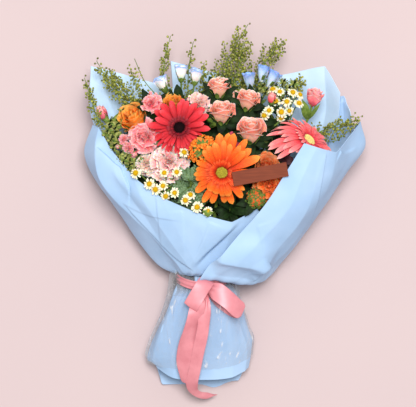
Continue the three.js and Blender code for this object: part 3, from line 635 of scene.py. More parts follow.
# How far behind a bloom's middle its solid's back and its neck lie, in shares of its radius, and the
# radius of its stem.
BACK = {"gerbera": 0.26, "rose": 0.95, "carnation": 1.25, "bud": 1.5, "cluster": 0.75}
NECK = {"gerbera": 0.55, "rose": 1.7, "carnation": 1.4, "bud": 3, "cluster": 1.6, "cup": 2.4, "daisy": 1.8}
STEM = {"gerbera": 3, "rose": 2.4, "carnation": 2.1, "bud": 1.6, "cluster": 1.8, "cup": 1.3, "daisy": 1}
BEND = 6  # mm of straight stem behind the neck
BEND_ROOM = 8  # mm before its fork that a stem is cut, for the new branches to join it


def neck_of(kind, at, facing, r):
    return np.array(at, float) - unit(facing) * (NECK[kind] * r + BEND)


FLORET_WIDTH = 0.1  # narrower rays than this are florets, and have fewer points


def spread_rays(piece, at, axes, r, rings):
    """Rings of rays, each (slot, count, from, to, start, height, length, width, rise, fall), with the
    directions in degrees and the sizes in shares of the bloom's radius."""
    for slot, count, first, last, start, height, length, width, rise, fall in rings:
        for k in range(count):
            turn = math.radians(first + (last - first) * (k + 0.5 + piece.draw(-0.25, 0.25)) / count)
            rows, columns, waist = (6, 2, 0.6) if width < FLORET_WIDTH else (12, 8, 0.4)
            petal = ray(r * length * piece.draw(0.9, 1.08), r * width * piece.draw(0.85, 1.12),
                        rise + piece.draw(-0.1, 0.1), fall + piece.draw(-0.22, 0.22),
                        rows, columns, waist, cup=piece.draw(0.1, 0.4),
                        twist=piece.draw(-0.2, 0.2), power=1.6)
            petal = petal + (0, r * start, r * (height + piece.draw(-0.02, 0.02)))
            piece.grid(turned_about_z(petal, turn - math.pi / 2) @ axes + at, slot)


# The rings of a gerbera's rays, from the outer one. 0 degrees is to the right, 90 is up.
GERBERA_RAYS = {
    "gerbera_red": [
        (0, 9, -12, 178, 0.2, -0.02, 0.82, 0.235, 0.15, -0.4),
        (0, 8, -4, 168, 0.18, 0.03, 0.72, 0.215, 0.42, -0.1),
        (0, 16, 178, 348, 0.2, -0.03, 0.7, 0.115, 0.1, -0.8),
        (0, 13, 182, 344, 0.19, 0.02, 0.5, 0.1, 0.3, -0.6),
        (1, 34, 0, 360, 0.17, 0.05, 0.24, 0.06, 0.6, 0.0),
        (1, 30, 0, 360, 0.16, 0.07, 0.14, 0.045, 0.9, 0.3)],
    "gerbera_orange": [
        (0, 8, 18, 130, 0.17, -0.02, 0.92, 0.24, 0.15, -0.3),
        (0, 7, 34, 138, 0.17, 0.05, 0.7, 0.2, 0.5, -0.1),
        (0, 6, 140, 212, 0.17, 0.0, 0.58, 0.15, 0.3, -0.8),
        (0, 6, 206, 318, 0.17, -0.04, 0.76, 0.2, 0.1, -0.8),
        (0, 4, 222, 302, 0.17, 0.05, 0.52, 0.2, 0.55, -1.0),
        (0, 4, -42, 14, 0.17, -0.04, 0.6, 0.16, 0.0, -0.5),
        (1, 56, 30, 330, 0.14, 0.04, 0.36, 0.034, 0.55, -0.2),
        (1, 48, 36, 320, 0.13, 0.06, 0.26, 0.03, 0.9, 0.1),
        (1, 20, -40, 34, 0.14, 0.0, 0.14, 0.045, 0.2, -0.3)],
    "gerbera_coral": [
        (0, 10, 126, 232, 0.17, -0.02, 1.06, 0.165, -0.25, -1.2),
        (0, 9, 132, 236, 0.16, 0.04, 0.82, 0.15, 0.05, -1.1),
        (0, 5, 236, 290, 0.17, -0.04, 0.5, 0.16, -0.1, -0.9),
        (0, 13, -50, 128, 0.17, -0.02, 0.72, 0.16, 0.0, -0.4),
        (0, 15, -60, 134, 0.16, 0.05, 0.58, 0.15, 0.35, -0.3),
        (0, 24, 0, 360, 0.15, 0.05, 0.42, 0.1, 0.5, -0.4),
        (1, 34, 0, 360, 0.14, 0.05, 0.22, 0.05, 0.7, -0.1)],
}
# The radius of each gerbera's disc, as a share of the gerbera's own.
GERBERA_DISC = {"gerbera_red": 0.22, "gerbera_orange": 0.15, "gerbera_coral": 0.19}
# The coral gerbera leans further to the side than its solid.
CORAL_FACING = (0.62, 0.58, 0.52)


def gerbera(piece, name, at, axes, r):
    """Rays and florets round a disc. Slots: 0 outer rays, 1 inner florets, 2 disc, 3 green."""
    spread_rays(piece, at, axes, r, GERBERA_RAYS[name])
    disc = GERBERA_DISC[name]
    seeded_dome(piece, at, axes, disc * r, 0.06 * r, 130, 0.015 * r, 2, base=0.05 * r)
    lathe(piece, [(0.06, -0.32), (0.15, -0.24), (0.24, -0.08), (0.2, 0)], 20, at, axes, GREEN_SLOT, size=r)
    ring_of_rays(piece, at, axes, 20, 0.16 * r, -0.16 * r, 0.2 * r, 0.06 * r, GREEN_SLOT, 0.9, 0.5, rows=4,
                 columns=2)


def rose(piece, at, axes, r, petals=17, ruffle=0.03, flare=0.26, tall=0.72, full=1.0):
    """A cup of petals wound in a spiral, tight in the middle. The outer ones roll back at their
    sides, which leaves a point in the middle of each rim."""
    t, a = along_and_across(16, 20)
    for k in range(petals):
        share = (k + 0.4) / petals
        radius = r * (0.08 + 0.84 * share ** 0.8)
        turn = k * GOLDEN + piece.draw(-0.25, 0.25)
        spread = 2.1 - 1.2 * share
        top = r * (tall - 0.28 * share ** 1.5 + piece.draw(-0.07, 0.07))
        bottom = -r * (1.15 - 0.3 * (1 - share))
        phase = piece.draw(0, 6)
        angle = turn + spread * a * (0.5 + 0.5 * t)
        bulge = 0.22 + 0.78 * np.sin(0.5 * math.pi * np.minimum(1, t * full)) ** 0.9
        roll = smooth(0.7, 1.0, t)
        sides = 0.35 + 0.65 * np.abs(a) ** 1.4
        point = np.exp(-(a / 0.28) ** 2) * t ** 6
        out = radius * bulge + r * flare * share * roll * (sides + 0.5 * point)
        out = out + r * ruffle * np.sin(6 * a + phase) * t ** 3 + r * 0.05 * a * (1 - share)
        height = bottom + (top - bottom) * t * (1 - 0.16 * a ** 2)
        height = height - r * 0.2 * share * smooth(0.8, 1.0, t) * sides + r * 0.08 * point
        height = height + r * ruffle * np.sin(5 * a + 2 * phase) * t ** 4
        piece.grid(polar(out, angle, height) @ axes + at)


# Whorls of a carnation, from the outer one: petals, elevation in degrees, length, half fan angle.
WHORLS = [(8, -14, 1.0, 34), (8, 10, 0.98, 35), (8, 32, 0.92, 36), (7, 54, 0.82, 38), (6, 76, 0.7, 40),
          (5, 92, 0.6, 60)]


def carnation(piece, at, axes, r):
    """A domed head of fan-shaped petals with frilled, toothed edges, in a calyx."""
    steps = 10
    t, a = along_and_across(steps, 28)
    up = np.array([0, 0, 1.0])
    for count, lift, length, fan in WHORLS:
        first = piece.draw(0, 6)
        for k in range(count):
            turn = first + 2 * math.pi * (k + piece.draw(-0.5, 0.5)) / count
            out, side = polar(1, turn), polar(1, turn + math.pi / 2)
            phase = piece.draw(0, 6)
            size = r * length * piece.draw(0.84, 1.08)
            rise = math.radians(lift + piece.draw(-14, 14))
            slope = np.minimum(rise + 0.9 * (1 - t) ** 1.5, 1.5)
            run = np.concatenate([[[0.0]], np.cumsum(np.cos(slope[1:]), 0)]) / steps * size
            climb = np.concatenate([[[0.0]], np.cumsum(np.sin(slope[1:]), 0)]) / steps * size
            angle = math.radians(fan) * a
            teeth = 1 - 0.05 * np.abs(np.sin(11 * a + phase)) * t ** 5
            reach = run * np.cos(angle) * teeth
            across = size * t ** 0.85 * np.sin(angle) * (0.95 + 0.1 * np.sin(3 * a + phase))
            frill = r * t ** 2 * (0.15 * np.sin(4.2 * a + phase) + 0.035 * np.sin(9 * a + 2 * phase))
            tilt = piece.draw(-0.7, 0.7)
            normal = up * math.cos(rise) - out * math.sin(rise)
            local = (out * (0.06 * r + reach)[..., None] + side * across[..., None]
                     + up * (climb * teeth * np.cos(0.7 * angle) - 0.5 * r)[..., None]
                     + normal * (frill + tilt * across)[..., None])
            piece.grid(local @ axes + at)
    lathe(piece, [(0.4, -0.32), (0.26, -0.14), (0.03, -0.08)], 14, at, axes, size=r)
    lathe(piece, [(0.12, -1.34), (0.24, -1.2), (0.27, -0.7), (0.34, -0.45), (0.4, -0.34)], 14, at, axes,
          GREEN_SLOT, size=r)


def sepals(piece, at, axes, r, count, base, radius, length, width, out):
    """Pointed sepals round a calyx, with sizes in shares of the bloom's radius r."""
    for k in range(count):
        turn = 2 * math.pi * k / count + 0.3
        spot = polar(radius * r, turn, base * r)
        tip = spot + length * r * polar(out, turn, 1.0)
        blade(piece, spot @ axes + at, tip @ axes + at, width * r, GREEN_SLOT, up=polar(1, turn, -out) @ axes,
              arch=-0.12, fold=0.25)


def bud(piece, at, axes, r, slot=0):
    """A half-closed flower with its petals wound tight, in a calyx."""
    t, a = along_and_across(10, 10)
    petals = 9
    for k in range(petals):
        share = (k + 0.5) / petals
        turn = k * GOLDEN
        radius = r * (0.2 + 0.78 * share)
        phase = piece.draw(0, 6)
        angle = turn + (1.9 - 0.9 * share) * a * (0.6 + 0.4 * t)
        shape = np.sin(math.pi * (0.12 + 0.6 * t))
        out = radius * shape * (1 + 0.09 * np.sin(4 * a + phase) * t ** 3)
        out = out + 0.12 * r * smooth(0.8, 1, t) * share
        top = r * (1.35 - 0.5 * share)
        height = -1.3 * r + (top + 1.3 * r) * t * (1 - 0.16 * a ** 2)
        piece.grid(polar(out, angle, height) @ axes + at, slot)
    lathe(piece, [(0.2, -1.75), (0.45, -1.5), (0.62, -1.15), (0.66, -0.9)], 12, at, axes, GREEN_SLOT, size=r)
    sepals(piece, at, axes, r, 5, -1.15, 0.58, 1.1, 0.5, out=0.12)


def little_flowers(piece, at, axes, r, count, slot, flower, height):
    """A head of many tiny five-petalled flowers on short stalks."""
    for k in range(count):
        share = math.sqrt((k + 0.5) / count)
        spot = polar(r * share, k * GOLDEN, height * r * (1 - share ** 2))
        spot = spot + np.array([piece.draw(-1, 1) for _ in "xyz"]) * 0.08 * r
        tube(piece, np.array([(0, 0, -0.7 * r), 0.6 * spot, spot]) @ axes + at, 0.35, GREEN_SLOT, sides=4)
        own = basis(unit(spot + (0, 0, 0.5 * r)) @ axes, piece.draw(0, 6))
        ring_of_rays(piece, spot @ axes + at, own, 5, 0.2 * flower, 0, flower, 0.75 * flower, slot, 0.7, -0.5,
                     rows=4, columns=3)
        lathe(piece, [(0.3 * flower, 0), (0.34 * flower, 0.3 * flower), (0.05, 0.55 * flower)], 6,
              spot @ axes + at, own, slot)


def daisy(piece, at, axes, r):
    """White rays round a yellow dome. Slots: 0 rays, 1 dome, 3 green."""
    rays = 13
    fall = piece.draw(-1.2, -0.2)
    for k in range(rays):
        turn = 2 * math.pi * (k + piece.draw(-0.3, 0.3)) / rays
        petal = ray(0.74 * r * piece.draw(0.7, 1.12), 0.3 * r * piece.draw(0.8, 1.2),
                    0.25 + piece.draw(-0.2, 0.2), fall + piece.draw(-0.5, 0.5),
                    rows=6, columns=4, waist=0.5, twist=piece.draw(-0.3, 0.3))
        petal = petal + (0, 0.28 * r, piece.draw(-0.04, 0.04) * r)
        piece.grid(turned_about_z(petal, turn) @ axes + at, 0)
    seeded_dome(piece, at, axes, 0.42 * r, 0.34 * r, 44, 0.055 * r, 1, base=0.02 * r)
    lathe(piece, [(0.08, -0.3), (0.3, -0.1), (0.36, 0.02)], 10, at, axes, GREEN_SLOT, size=r)


def cup(piece, at, axes, r, deep):
    """A narrow cup of pale petals with blue rims, in a green calyx."""
    t, a = along_and_across(10, 10)
    petals = 7
    for k in range(petals):
        share = (k + 0.5) / petals
        turn = k * GOLDEN
        phase = piece.draw(0, 6)
        angle = turn + (1.5 - 0.6 * share) * a * (0.5 + 0.5 * t)
        out = r * (0.25 + 0.7 * share ** 0.5 * np.sin(0.5 * math.pi * np.minimum(1, 1.3 * t)))
        out = out * (1 + 0.14 * np.sin(3 * a + phase) * t ** 3) + 0.2 * r * share * smooth(0.75, 1, t)
        height = -deep * r + r * (deep + 0.95 + 0.2 * piece.random.random()) * t * (1 - 0.14 * a ** 2)
        piece.grid(polar(out, angle, height) @ axes + at)
    lathe(piece, [(0.16, -1.5), (0.4, -1.25), (0.55, -0.8), (0.62, -0.4)], 12, at, axes, GREEN_SLOT, size=r)
    sepals(piece, at, axes, r, 4, -0.7, 0.55, 1.0, 0.55, out=0.25)


# Each: node, kind, middle, the way it faces, radius, material slot in the record, and materials.
BLOOMS = [
    ("gerbera_red", "gerbera", (-66, 122, 142), (-0.05, 0.22, 0.95), 46, "petal_crimson",
     (CRIMSON, CRIMSON_DEEP, DARK_DISC)),
    ("gerbera_orange", "gerbera", (-4, 56, 160), (0, 0.05, 1), 55, "petal_orange",
     (ORANGE, ORANGE_DEEP, OLIVE_DISC)),
    ("gerbera_coral", "gerbera", (123, 103, 138), (0.55, 0.15, 0.8), 52, "petal_coral",
     (CORAL, CORAL_DEEP, CREAM_DISC)),
    ("spray_rose_top", "rose", (-8, 184, 126), (0.05, 0.8, 0.6), 16, "petal_peach", (PEACH,)),
    ("spray_rose_left", "rose", (-3, 146, 142), (0, 0.65, 0.75), 18, "petal_peach", (PEACH,)),
    ("spray_rose_right", "rose", (35, 164, 136), (0.2, 0.7, 0.7), 16, "petal_peach", (PEACH,)),
    ("spray_rose_front", "rose", (39, 119, 150), (0, 0.6, 0.8), 20, "petal_peach", (PEACH,)),
    ("spray_rose_bud", "bud", (17, 170, 122), (0, 0.9, 0.4), 7, "petal_peach", (PEACH,)),
    ("coral_bud", "bud", (70, 167, 128), (0.1, 0.9, 0.4), 7, "petal_peach", (CORAL,)),
    ("carnation_blush", "carnation", (-37, 162, 120), (0, 0.6, 0.8), 20, "petal_cream", (BLUSH,)),
    ("carnation_pink_small", "carnation", (-108, 163, 124), (-0.1, 0.6, 0.8), 16, "petal_pink", (PINK,)),
    ("carnation_coral_large", "carnation", (-120, 112, 125), (-0.2, 0.2, 0.9), 24, "petal_pink", (PINK,)),
    ("carnation_coral_small", "carnation", (-90, 130, 117), (-0.1, 0.4, 0.9), 11, "petal_pink", (PINK,)),
    ("carnation_variegated", "carnation", (-84, 74, 133), (-0.1, 0.15, 0.98), 28, "petal_variegated",
     (VARIEGATED,)),
    ("carnation_cream", "carnation", (-118, 70, 112), (-0.2, 0.15, 0.95), 18, "petal_cream", (CREAM,)),
    ("carnation_wine", "carnation", (14, 104, 118), (0, 0.1, 0.95), 12, "petal_wine", (WINE,)),
    ("ranunculus_left", "rose", (-138, 143, 98), (-0.4, 0.5, 0.75), 20, "petal_flame", (FLAME,)),
    ("ranunculus_top", "rose", (-77, 160, 116), (-0.1, 0.6, 0.8), 16, "petal_flame", (FLAME,)),
    ("ranunculus_right", "rose", (67, 76, 128), (0.1, 0.3, 0.95), 18, "petal_flame", (RUST,)),
    ("carnation_orange", "carnation", (67, 38, 130), (0.1, 0, 1), 20, "petal_flame", (EMBER,)),
    ("pink_bud_left", "bud", (-183, 147, 80), (-0.5, 0.8, 0.3), 8, "petal_pink", (PINK,)),
    ("pink_bud_right", "bud", (135, 170, 100), (0.25, 0.85, 0.45), 11, "petal_pink", (PINK,)),
    ("butterfly_weed_green", "cluster", (43, 10, 136), (0, 0, 1), 11, "greenery", (EMBER,)),
    ("butterfly_weed_orange", "cluster", (-30, 88, 128), (0, 0.3, 1), 14, "petal_flame", (FLAME,)),
]

# Leaves that grow just below a bud: (tip, width).
BUD_LEAVES = {
    "pink_bud_left": [((-180, 112, 92), 13), ((-158, 146, 92), 11), ((-168, 120, 96), 11)],
    "pink_bud_right": [((116, 166, 104), 13), ((143, 160, 98), 6), ((122, 150, 100), 10)],
}
# Where the stem below those leaves is cut, in Y.
BUD_CUT = {"pink_bud_left": 96, "pink_bud_right": 120}
# How much wider than its solid a head opens.
FULLER = {
    "carnation_blush": 1.1, "carnation_pink_small": 1.05, "carnation_coral_large": 1.12,
    "carnation_variegated": 1.1, "carnation_wine": 1.3, "carnation_orange": 1.35, "ranunculus_left": 1.2,
    "ranunculus_top": 1.1, "ranunculus_right": 1.05, "pink_bud_left": 1.15, "pink_bud_right": 1.25}
# How far a head lies from its solid's place.
SHIFTED = {
    "ranunculus_right": (-4, -7, 17), "carnation_orange": (0, 0, 12), "carnation_wine": (0, 0, 14),
    "butterfly_weed_orange": (0, 0, 17), "butterfly_weed_green": (4, 9, 7), "carnation_cream": (0, 0, 10),
    "ranunculus_left": (2, -3, 8)}
ROSE_LEAN = (0, 0.25, -0.1)  # added to the way a spray rose faces

# Smaller buds on the same stem: (place, direction, radius, material slot). One larger than this is open.
OPEN_BUD = 7
SIDE_BUDS = {
    "carnation_coral_small": [
        ((-99, 100, 128), (-0.2, 0.5, 0.8), 5.5, 3), ((-88, 92, 126), (0.3, -0.3, 0.9), 3.5, 3)],
    "carnation_coral_large": [
        ((-150, 107, 118), (-0.4, 0.3, 0.8), 8.5, 0), ((-143, 92, 121), (-0.4, -0.3, 0.8), 9, 0),
        ((-157, 95, 114), (-0.7, 0.1, 0.7), 4, 0), ((-133, 84, 120), (-0.2, -0.6, 0.7), 5, 0)],
    "spray_rose_left": [
        ((-17, 127, 140), (-0.4, -0.2, 0.9), 5, 3), ((-22, 134, 136), (-0.7, 0.3, 0.7), 4, 3)],
    "carnation_blush": [((-50, 150, 118), (-0.8, -0.2, 0.6), 4.5, 3)],
}


def rose_bloom(piece, name, at, axes, r):
    """A spray rose, or a ranunculus, which is wider and has more petals."""
    if name.startswith("ranunculus"):
        rose(piece, at, axes, r, petals=24, ruffle=0.07, flare=0.2, tall=0.5, full=1.3)
        sepals(piece, at, axes, r, 5, -0.85, 0.35, 0.9, 0.32, out=0.5)
    else:
        rose(piece, at, axes, r * 1.04)
        sepals(piece, at, axes, r, 6, -1.1, 0.42, 0.8, 0.42, out=0.62)
    lathe(piece, [(0.12, -1.2), (0.3, -1.1), (0.36, -0.92)], 12, at, axes, GREEN_SLOT, size=r)


def bud_bloom(piece, name, at, axes, r):
    """A bud. The right pink one is half open."""
    if name == "pink_bud_right":
        rose(piece, at, axes, r, petals=16, ruffle=0.08, flare=0.2, tall=0.8, full=1.4)
        sepals(piece, at, axes, r, 5, -1.1, 0.45, 1.1, 0.45, out=0.2)
    else:
        bud(piece, at, axes, r)


def cluster_bloom(piece, name, at, axes, r):
    """Butterfly weed: the green cluster is in tight bud, the orange one is open, with leaves."""
    if name == "butterfly_weed_green":
        seeded_dome(piece, at, axes, 0.95 * r, 0.8 * r, 110, 0.12 * r, GREEN_SLOT, base=-0.1 * r)
        little_flowers(piece, at, axes, 1.3 * r, 46, 0, flower=1.7, height=0.8)
        little_flowers(piece, at, axes, 1.4 * r, 64, GREEN_SLOT, flower=2.2, height=0.7)
    else:
        little_flowers(piece, at, axes, 1.65 * r, 26, 0, flower=5.4, height=1.0)
        under_leaves(piece, at - 0.4 * r * axes[2], at + 0.9 * r * axes[2], 26, 22, 5, GREEN_SLOT, lift=0.9)


HEADS = {"gerbera": gerbera, "rose": rose_bloom, "bud": bud_bloom, "cluster": cluster_bloom}


def make_bloom(name, kind, at, facing, r, record_slot, materials):
    """A bloom with its neck, its leaves and the stem taken over from its node."""
    piece = Piece(name)
    at = np.array(at, float)
    axes = basis(unit(facing) + (ROSE_LEAN if name.startswith("spray_rose") else (0, 0, 0)))
    neck = neck_of(kind, at, facing, r)
    cut = stem_of(piece, BUD_CUT.get(name, math.inf), head=(at, facing, BACK[kind] * r))
    shift = np.array(SHIFTED.get(name, (0, 0, 0)), float)
    seat = at + shift - unit(facing) * BACK[kind] * r
    tube(piece, [cut, (cut + neck) / 2, neck + shift * 0.6, seat], STEM[kind], GREEN_SLOT, steps=9)
    at = at + shift
    r = r * FULLER.get(name, 1)
    if name == "gerbera_coral":
        axes = basis(CORAL_FACING)
    if kind == "carnation":
        carnation(piece, at, axes, r)
    else:
        HEADS[kind](piece, name, at, axes, r)
    for spot, looks, small, slot in SIDE_BUDS.get(name, []):
        spot = np.array(spot, float)
        tube(piece, [neck, (neck + spot) / 2 - (0, 0, 5), spot - 1.6 * small * unit(looks)], 0.8, GREEN_SLOT,
             steps=8, sides=6)
        if small > OPEN_BUD:
            carnation(piece, spot, basis(looks), small)
        else:
            bud(piece, spot, basis(looks), small, slot)
    for tip, width in BUD_LEAVES.get(name, []):
        blade(piece, neck, tip, width, GREEN_SLOT, wave=0.06)
    if kind in ("rose", "carnation", "cluster"):
        # Leaves that fill the gaps below the bloom, in the dark leaf colour with its painted shade.
        under_leaves(piece, cut, seat, count=9, length=30, width=12, slot=DARK_LEAF_AND_SHADE_SLOT)
        stem_leaves(piece, count=12, reach_down=80, length=34, width=13)
    if len(materials) == 1:
        materials = materials * 3
    piece.finish((*materials, PALE if kind == "carnation" else GREEN, DARK_LEAF_AND_SHADE))


# ---- Sprays ----

# Each: node, kind, fork, radius of its flowers and its stem, slot in the record, and its flowers:
# their middles and the ways they face.
SPRAYS = [
    ("tinted_spray_left", "cup", (-62, 120, 80), 9, 2, "petal_tinted", [
        ((-92, 189, 98), (-0.4, 0.9, 0.3)), ((-64, 206, 94), (0, 1, 0.3)), ((-42, 201, 98), (0.2, 1, 0.3))]),
    ("tinted_spray_right", "cup", (38, 118, 92), 9, 2, "petal_tinted", [
        ((37, 196, 104), (-0.1, 1, 0.3)), ((58, 207, 98), (0.2, 1, 0.3)), ((73, 198, 100), (0.5, 0.9, 0.3))]),
    ("camomile_spray_right", "daisy", (72, 66, 104), 9, 1.8, "petal_white", [
        ((101, 175, 128), (0.2, 0.5, 0.8)), ((92, 161, 134), (0, 0.4, 0.9)),
        ((110, 159, 130), (0.3, 0.4, 0.9)), ((84, 146, 132), (-0.1, 0.2, 1)),
        ((66, 148, 134), (-0.2, 0.3, 0.9)), ((82, 176, 126), (0, 0.6, 0.8)),
        ((59, 141, 130), (-0.3, 0.1, 0.9)), ((76, 162, 124), (-0.2, 0.4, 0.9)),
        ((96, 148, 126), (0.2, 0, 1)), ((84, 138, 124), (0, -0.2, 1)),
        ((112, 172, 120), (0.5, 0.5, 0.7)), ((72, 180, 118), (-0.3, 0.8, 0.6))]),
    ("camomile_spray_left", "daisy", (-86, 12, 100), 9, 1.8, "petal_white", [
        ((-130, 56, 143), (-0.4, 0.2, 0.9)), ((-110, 40, 147), (-0.2, 0, 1)), ((-90, 37, 152), (0, 0.1, 1)),
        ((-73, 27, 152), (0.1, -0.1, 1)), ((-88, 56, 156), (-0.1, 0.3, 0.9)),
        ((-70, 57, 156), (0.2, 0.3, 0.9)), ((-59, 86, 152), (0.3, 0.4, 0.9)),
        ((-101, 32, 146), (-0.3, -0.2, 0.9)), ((-86, 22, 146), (0, -0.4, 0.9))]),
    ("camomile_spray_centre", "daisy", (-40, 10, 100), 9, 1.8, "petal_white", [
        ((-57, 16, 152), (-0.1, 0, 1)), ((-24, 0, 150), (0.1, -0.1, 1)), ((-40, 6, 151), (0, 0, 1)),
        ((-23, 54, 158), (-0.1, 0.2, 1)), ((-50, 24, 146), (0.1, 0.4, 0.9))]),
]


# Where leaves grow below a spray's flowers.
SPRAY_LEAVES = {
    "camomile_spray_right": [(62, 92, 104), (80, 108, 108), (52, 116, 106)],
    "tinted_spray_right": [(42, 128, 100)],
    "tinted_spray_left": [(-66, 130, 88)],
}


def make_spray(name, kind, fork, r, stem_radius, record_slot, heads):
    """A forked stem with a cup or a camomile head on each branch, and small leaves at the forks."""
    piece = Piece(name)
    fork = np.array(fork, float)
    cut = stem_of(piece, fork[1] - BEND_ROOM)
    tube(piece, [cut, (cut + fork) / 2, fork], stem_radius, GREEN_SLOT, steps=6)
    start = cut + (fork - cut) * 0.9
    blue = name == "tinted_spray_right"
    for at, facing in heads:
        at = np.array(at, float)
        size = r * piece.draw(0.88, 1.1)
        neck = neck_of(kind, at, facing, r)
        seat = at - unit(facing) * (1.35 * r if kind == "cup" else 0.22 * r)
        tube(piece, [start, (fork + neck) / 2, neck, seat], STEM[kind], GREEN_SLOT, steps=12, sides=6)
        axes = basis(facing, piece.draw(0, 6))
        if kind == "cup":
            cup(piece, at, axes, size * 1.05, deep=1.65 if blue else 1.2)
        else:
            daisy(piece, at, axes, size)
        for side in (-1, 1):
            base = fork + (neck - fork) * piece.draw(0.35, 0.8)
            reach = np.array([side * piece.draw(8, 16), piece.draw(2, 14), piece.draw(-2, 8)])
            blade(piece, base, base + reach, 3.5 if kind == "daisy" else 4.5, GREEN_SLOT, rows=6, columns=4)
    for low in SPRAY_LEAVES.get(name, []):
        low = np.array(low, float)
        # Low leaves in the dark leaf colour, with its painted shade.
        under_leaves(piece, low, low + (0, 34, 10), count=7, length=28, width=12, slot=DARK_LEAF_AND_SHADE_SLOT)
    materials = (BLUE if blue else TINTED,) * 3 if kind == "cup" else (WHITE, YELLOW_DISC, WHITE)
    piece.finish((*materials, GREEN, DARK_LEAF_AND_SHADE))


# ---- Sprigs with round flat pods ----

# Each: node, points, side twigs, pods on each, and how far the twigs reach.
SPRIGS = [
    ("pod_sprig_far_left", [(-152, 104, 84), (-186, 134, 96), (-198, 168, 98), (-208, 198, 96)],
     15, 9, 11),
    ("pod_sprig_left", [(-126, 148, 64), (-150, 166, 84), (-172, 192, 92), (-190, 224, 94)], 18, 10, 15),
    ("pod_sprig_left_inner", [(-112, 150, 78), (-138, 170, 86), (-158, 190, 90), (-172, 208, 90)],
     17, 11, 17),
    ("grass_stem_left", [(-100, 170, 70), (-120, 196, 76), (-134, 228, 80)], 0, 0, 0),
    ("pod_sprig_tall_left", [(-80, 168, 66), (-90, 200, 72), (-88, 230, 76), (-80, 262, 78)], 13, 7, 10),
    ("pod_sprig_slender", [(-54, 172, 66), (-53, 212, 72), (-46, 254, 72)], 10, 6, 8),
    ("grass_stem_centre", [(-32, 176, 66), (-31, 200, 72), (-30, 222, 74)], 7, 6, 8),
    ("pod_sprig_tall_centre", [(-14, 174, 62), (4, 222, 68), (36, 280, 72)], 24, 15, 26),
    ("pod_sprig_centre", [(10, 176, 74), (22, 214, 80), (30, 250, 84)], 22, 15, 27),
    ("pod_sprig_right_inner", [(30, 170, 66), (58, 218, 74), (90, 256, 78)], 24, 15, 27),
    ("pod_sprig_right", [(94, 168, 74), (106, 184, 80), (118, 196, 84)], 10, 10, 15),
    ("pod_sprig_far_right", [(134, 112, 84), (162, 126, 92), (188, 133, 98)], 12, 10, 13),
]


# Slots of a sprig's materials.
TWIG_SLOT, POD_SLOT, TUFT_SLOT = 0, 1, 2
POD_PROFILE = [(0.04, 0.22), (0.62, 0.2), (1.0, 0.02), (0.66, -0.16), (0.04, -0.2)]
LOW_TWIGS = 14
TUFT_LEAVES = 16

# The points of a second branch of the same sprig.
SECOND_BRANCH = {
    "pod_sprig_far_right": [(140, 104, 88), (164, 104, 96), (184, 118, 100), (199, 132, 100)],
    "pod_sprig_left_inner": [(-112, 150, 84), (-124, 172, 92), (-132, 190, 94), (-136, 204, 94)],
}
# Where tufts of small leaves grow low on a sprig.
TUFTS = {
    "pod_sprig_far_left": [
        (-172, 121, 104), (-176, 114, 102), (-168, 106, 108), (-163, 114, 106), (-164, 95, 112),
        (-158, 102, 110), (-155, 84, 116), (-150, 96, 112), (-148, 75, 120), (-142, 84, 116),
        (-140, 66, 124), (-133, 74, 120), (-160, 126, 104), (-150, 108, 108), (-128, 80, 118),
        (-132, 60, 126)],
    "pod_sprig_left": [
        (-148, 130, 96), (-160, 134, 98), (-170, 132, 98), (-142, 124, 100), (-152, 146, 92)],
    "pod_sprig_right": [
        (84, 174, 92), (96, 182, 92), (76, 184, 90), (62, 178, 96), (68, 190, 92), (88, 192, 90),
        (56, 184, 94), (104, 190, 88)],
}


def round_pod(piece, at, facing, size):
    """A flat round pod."""
    axes = basis(facing, piece.draw(0, 6))
    lathe(piece, POD_PROFILE, 7, at, axes, POD_SLOT, size=size)


def make_sprig(name, line, twigs, pods, reach):
    """A thin stem with pods along it and on twigs round it, and low twigs inside the bunch."""
    piece = Piece(name)
    line = np.array(line, float)
    cut = stem_of(piece, line[0][1] - BEND_ROOM, TWIG_SLOT)
    low = cut + (line[0] - cut) * 0.7
    tube(piece, [cut, (cut + line[0]) / 2, *line], 1.2, TWIG_SLOT, end_radius=0.5, steps=24, sides=6)
    if name in SECOND_BRANCH:
        branch = spline([low, *SECOND_BRANCH[name]], 40)
        tube(piece, branch, 0.8, TWIG_SLOT, end_radius=0.4, sides=5)
        for spot, out in zip(branch[12::2], itertools.cycle((-1, 1))):
            twig = spline([spot, spot + (out * 3, 4, 2), spot + (out * 6, 11, 1)], 5)
            pods_along(piece, twig, 3.2, 1.7)
    for spot in TUFTS.get(name, []):
        tuft(piece, line[0] * 0.75 + cut * 0.25, np.array(spot, float))
    steps = 60
    axis = spline([low, *line], steps)
    ahead = unit(np.gradient(axis, axis=0))
    for k in range(twigs):
        share = 0.12 + 0.8 * k / twigs
        spot = int(share * steps)
        base = axis[spot]
        turn = k * GOLDEN
        side = unit(np.cross(ahead[spot], (0, 0, 1)))
        flat = side * math.cos(turn) + np.array([0, 0, 0.55]) * math.sin(turn)
        length = reach * (1.35 - 1.0 * share) * piece.draw(0.8, 1.2)
        tip = base + flat * length * 0.8 + ahead[spot] * length * 1.15
        bend = base + flat * length * 0.5 + ahead[spot] * length * 0.4
        twig = spline([base, bend, tip], pods)
        tube(piece, twig, 0.55, TWIG_SLOT, end_radius=0.3, sides=4)
        pods_along(piece, twig[1:], 3.6, 1.85)
    if twigs:
        pods_along(piece, axis[24::2], 5.0, 1.8)
        stem_leaves(piece, count=16, reach_down=95, length=24, width=8)
        for k in range(LOW_TWIGS):
            base = stem_point(piece, 4 + 8 * k)
            out = np.array([math.cos(k * GOLDEN), 0.9, 0.5 + 0.5 * math.sin(k * GOLDEN)])
            twig = spline([base, base + out * reach * 0.5, base + out * reach * (1.2, 1.6, 1.0)], 10)
            tube(piece, twig, 0.5, TWIG_SLOT, end_radius=0.3, sides=4)
            pods_along(piece, twig[2:], 3.4, 1.8)
    piece.finish((GREEN, POD, MOSS, GREEN, DARK_LEAF_AND_SHADE))


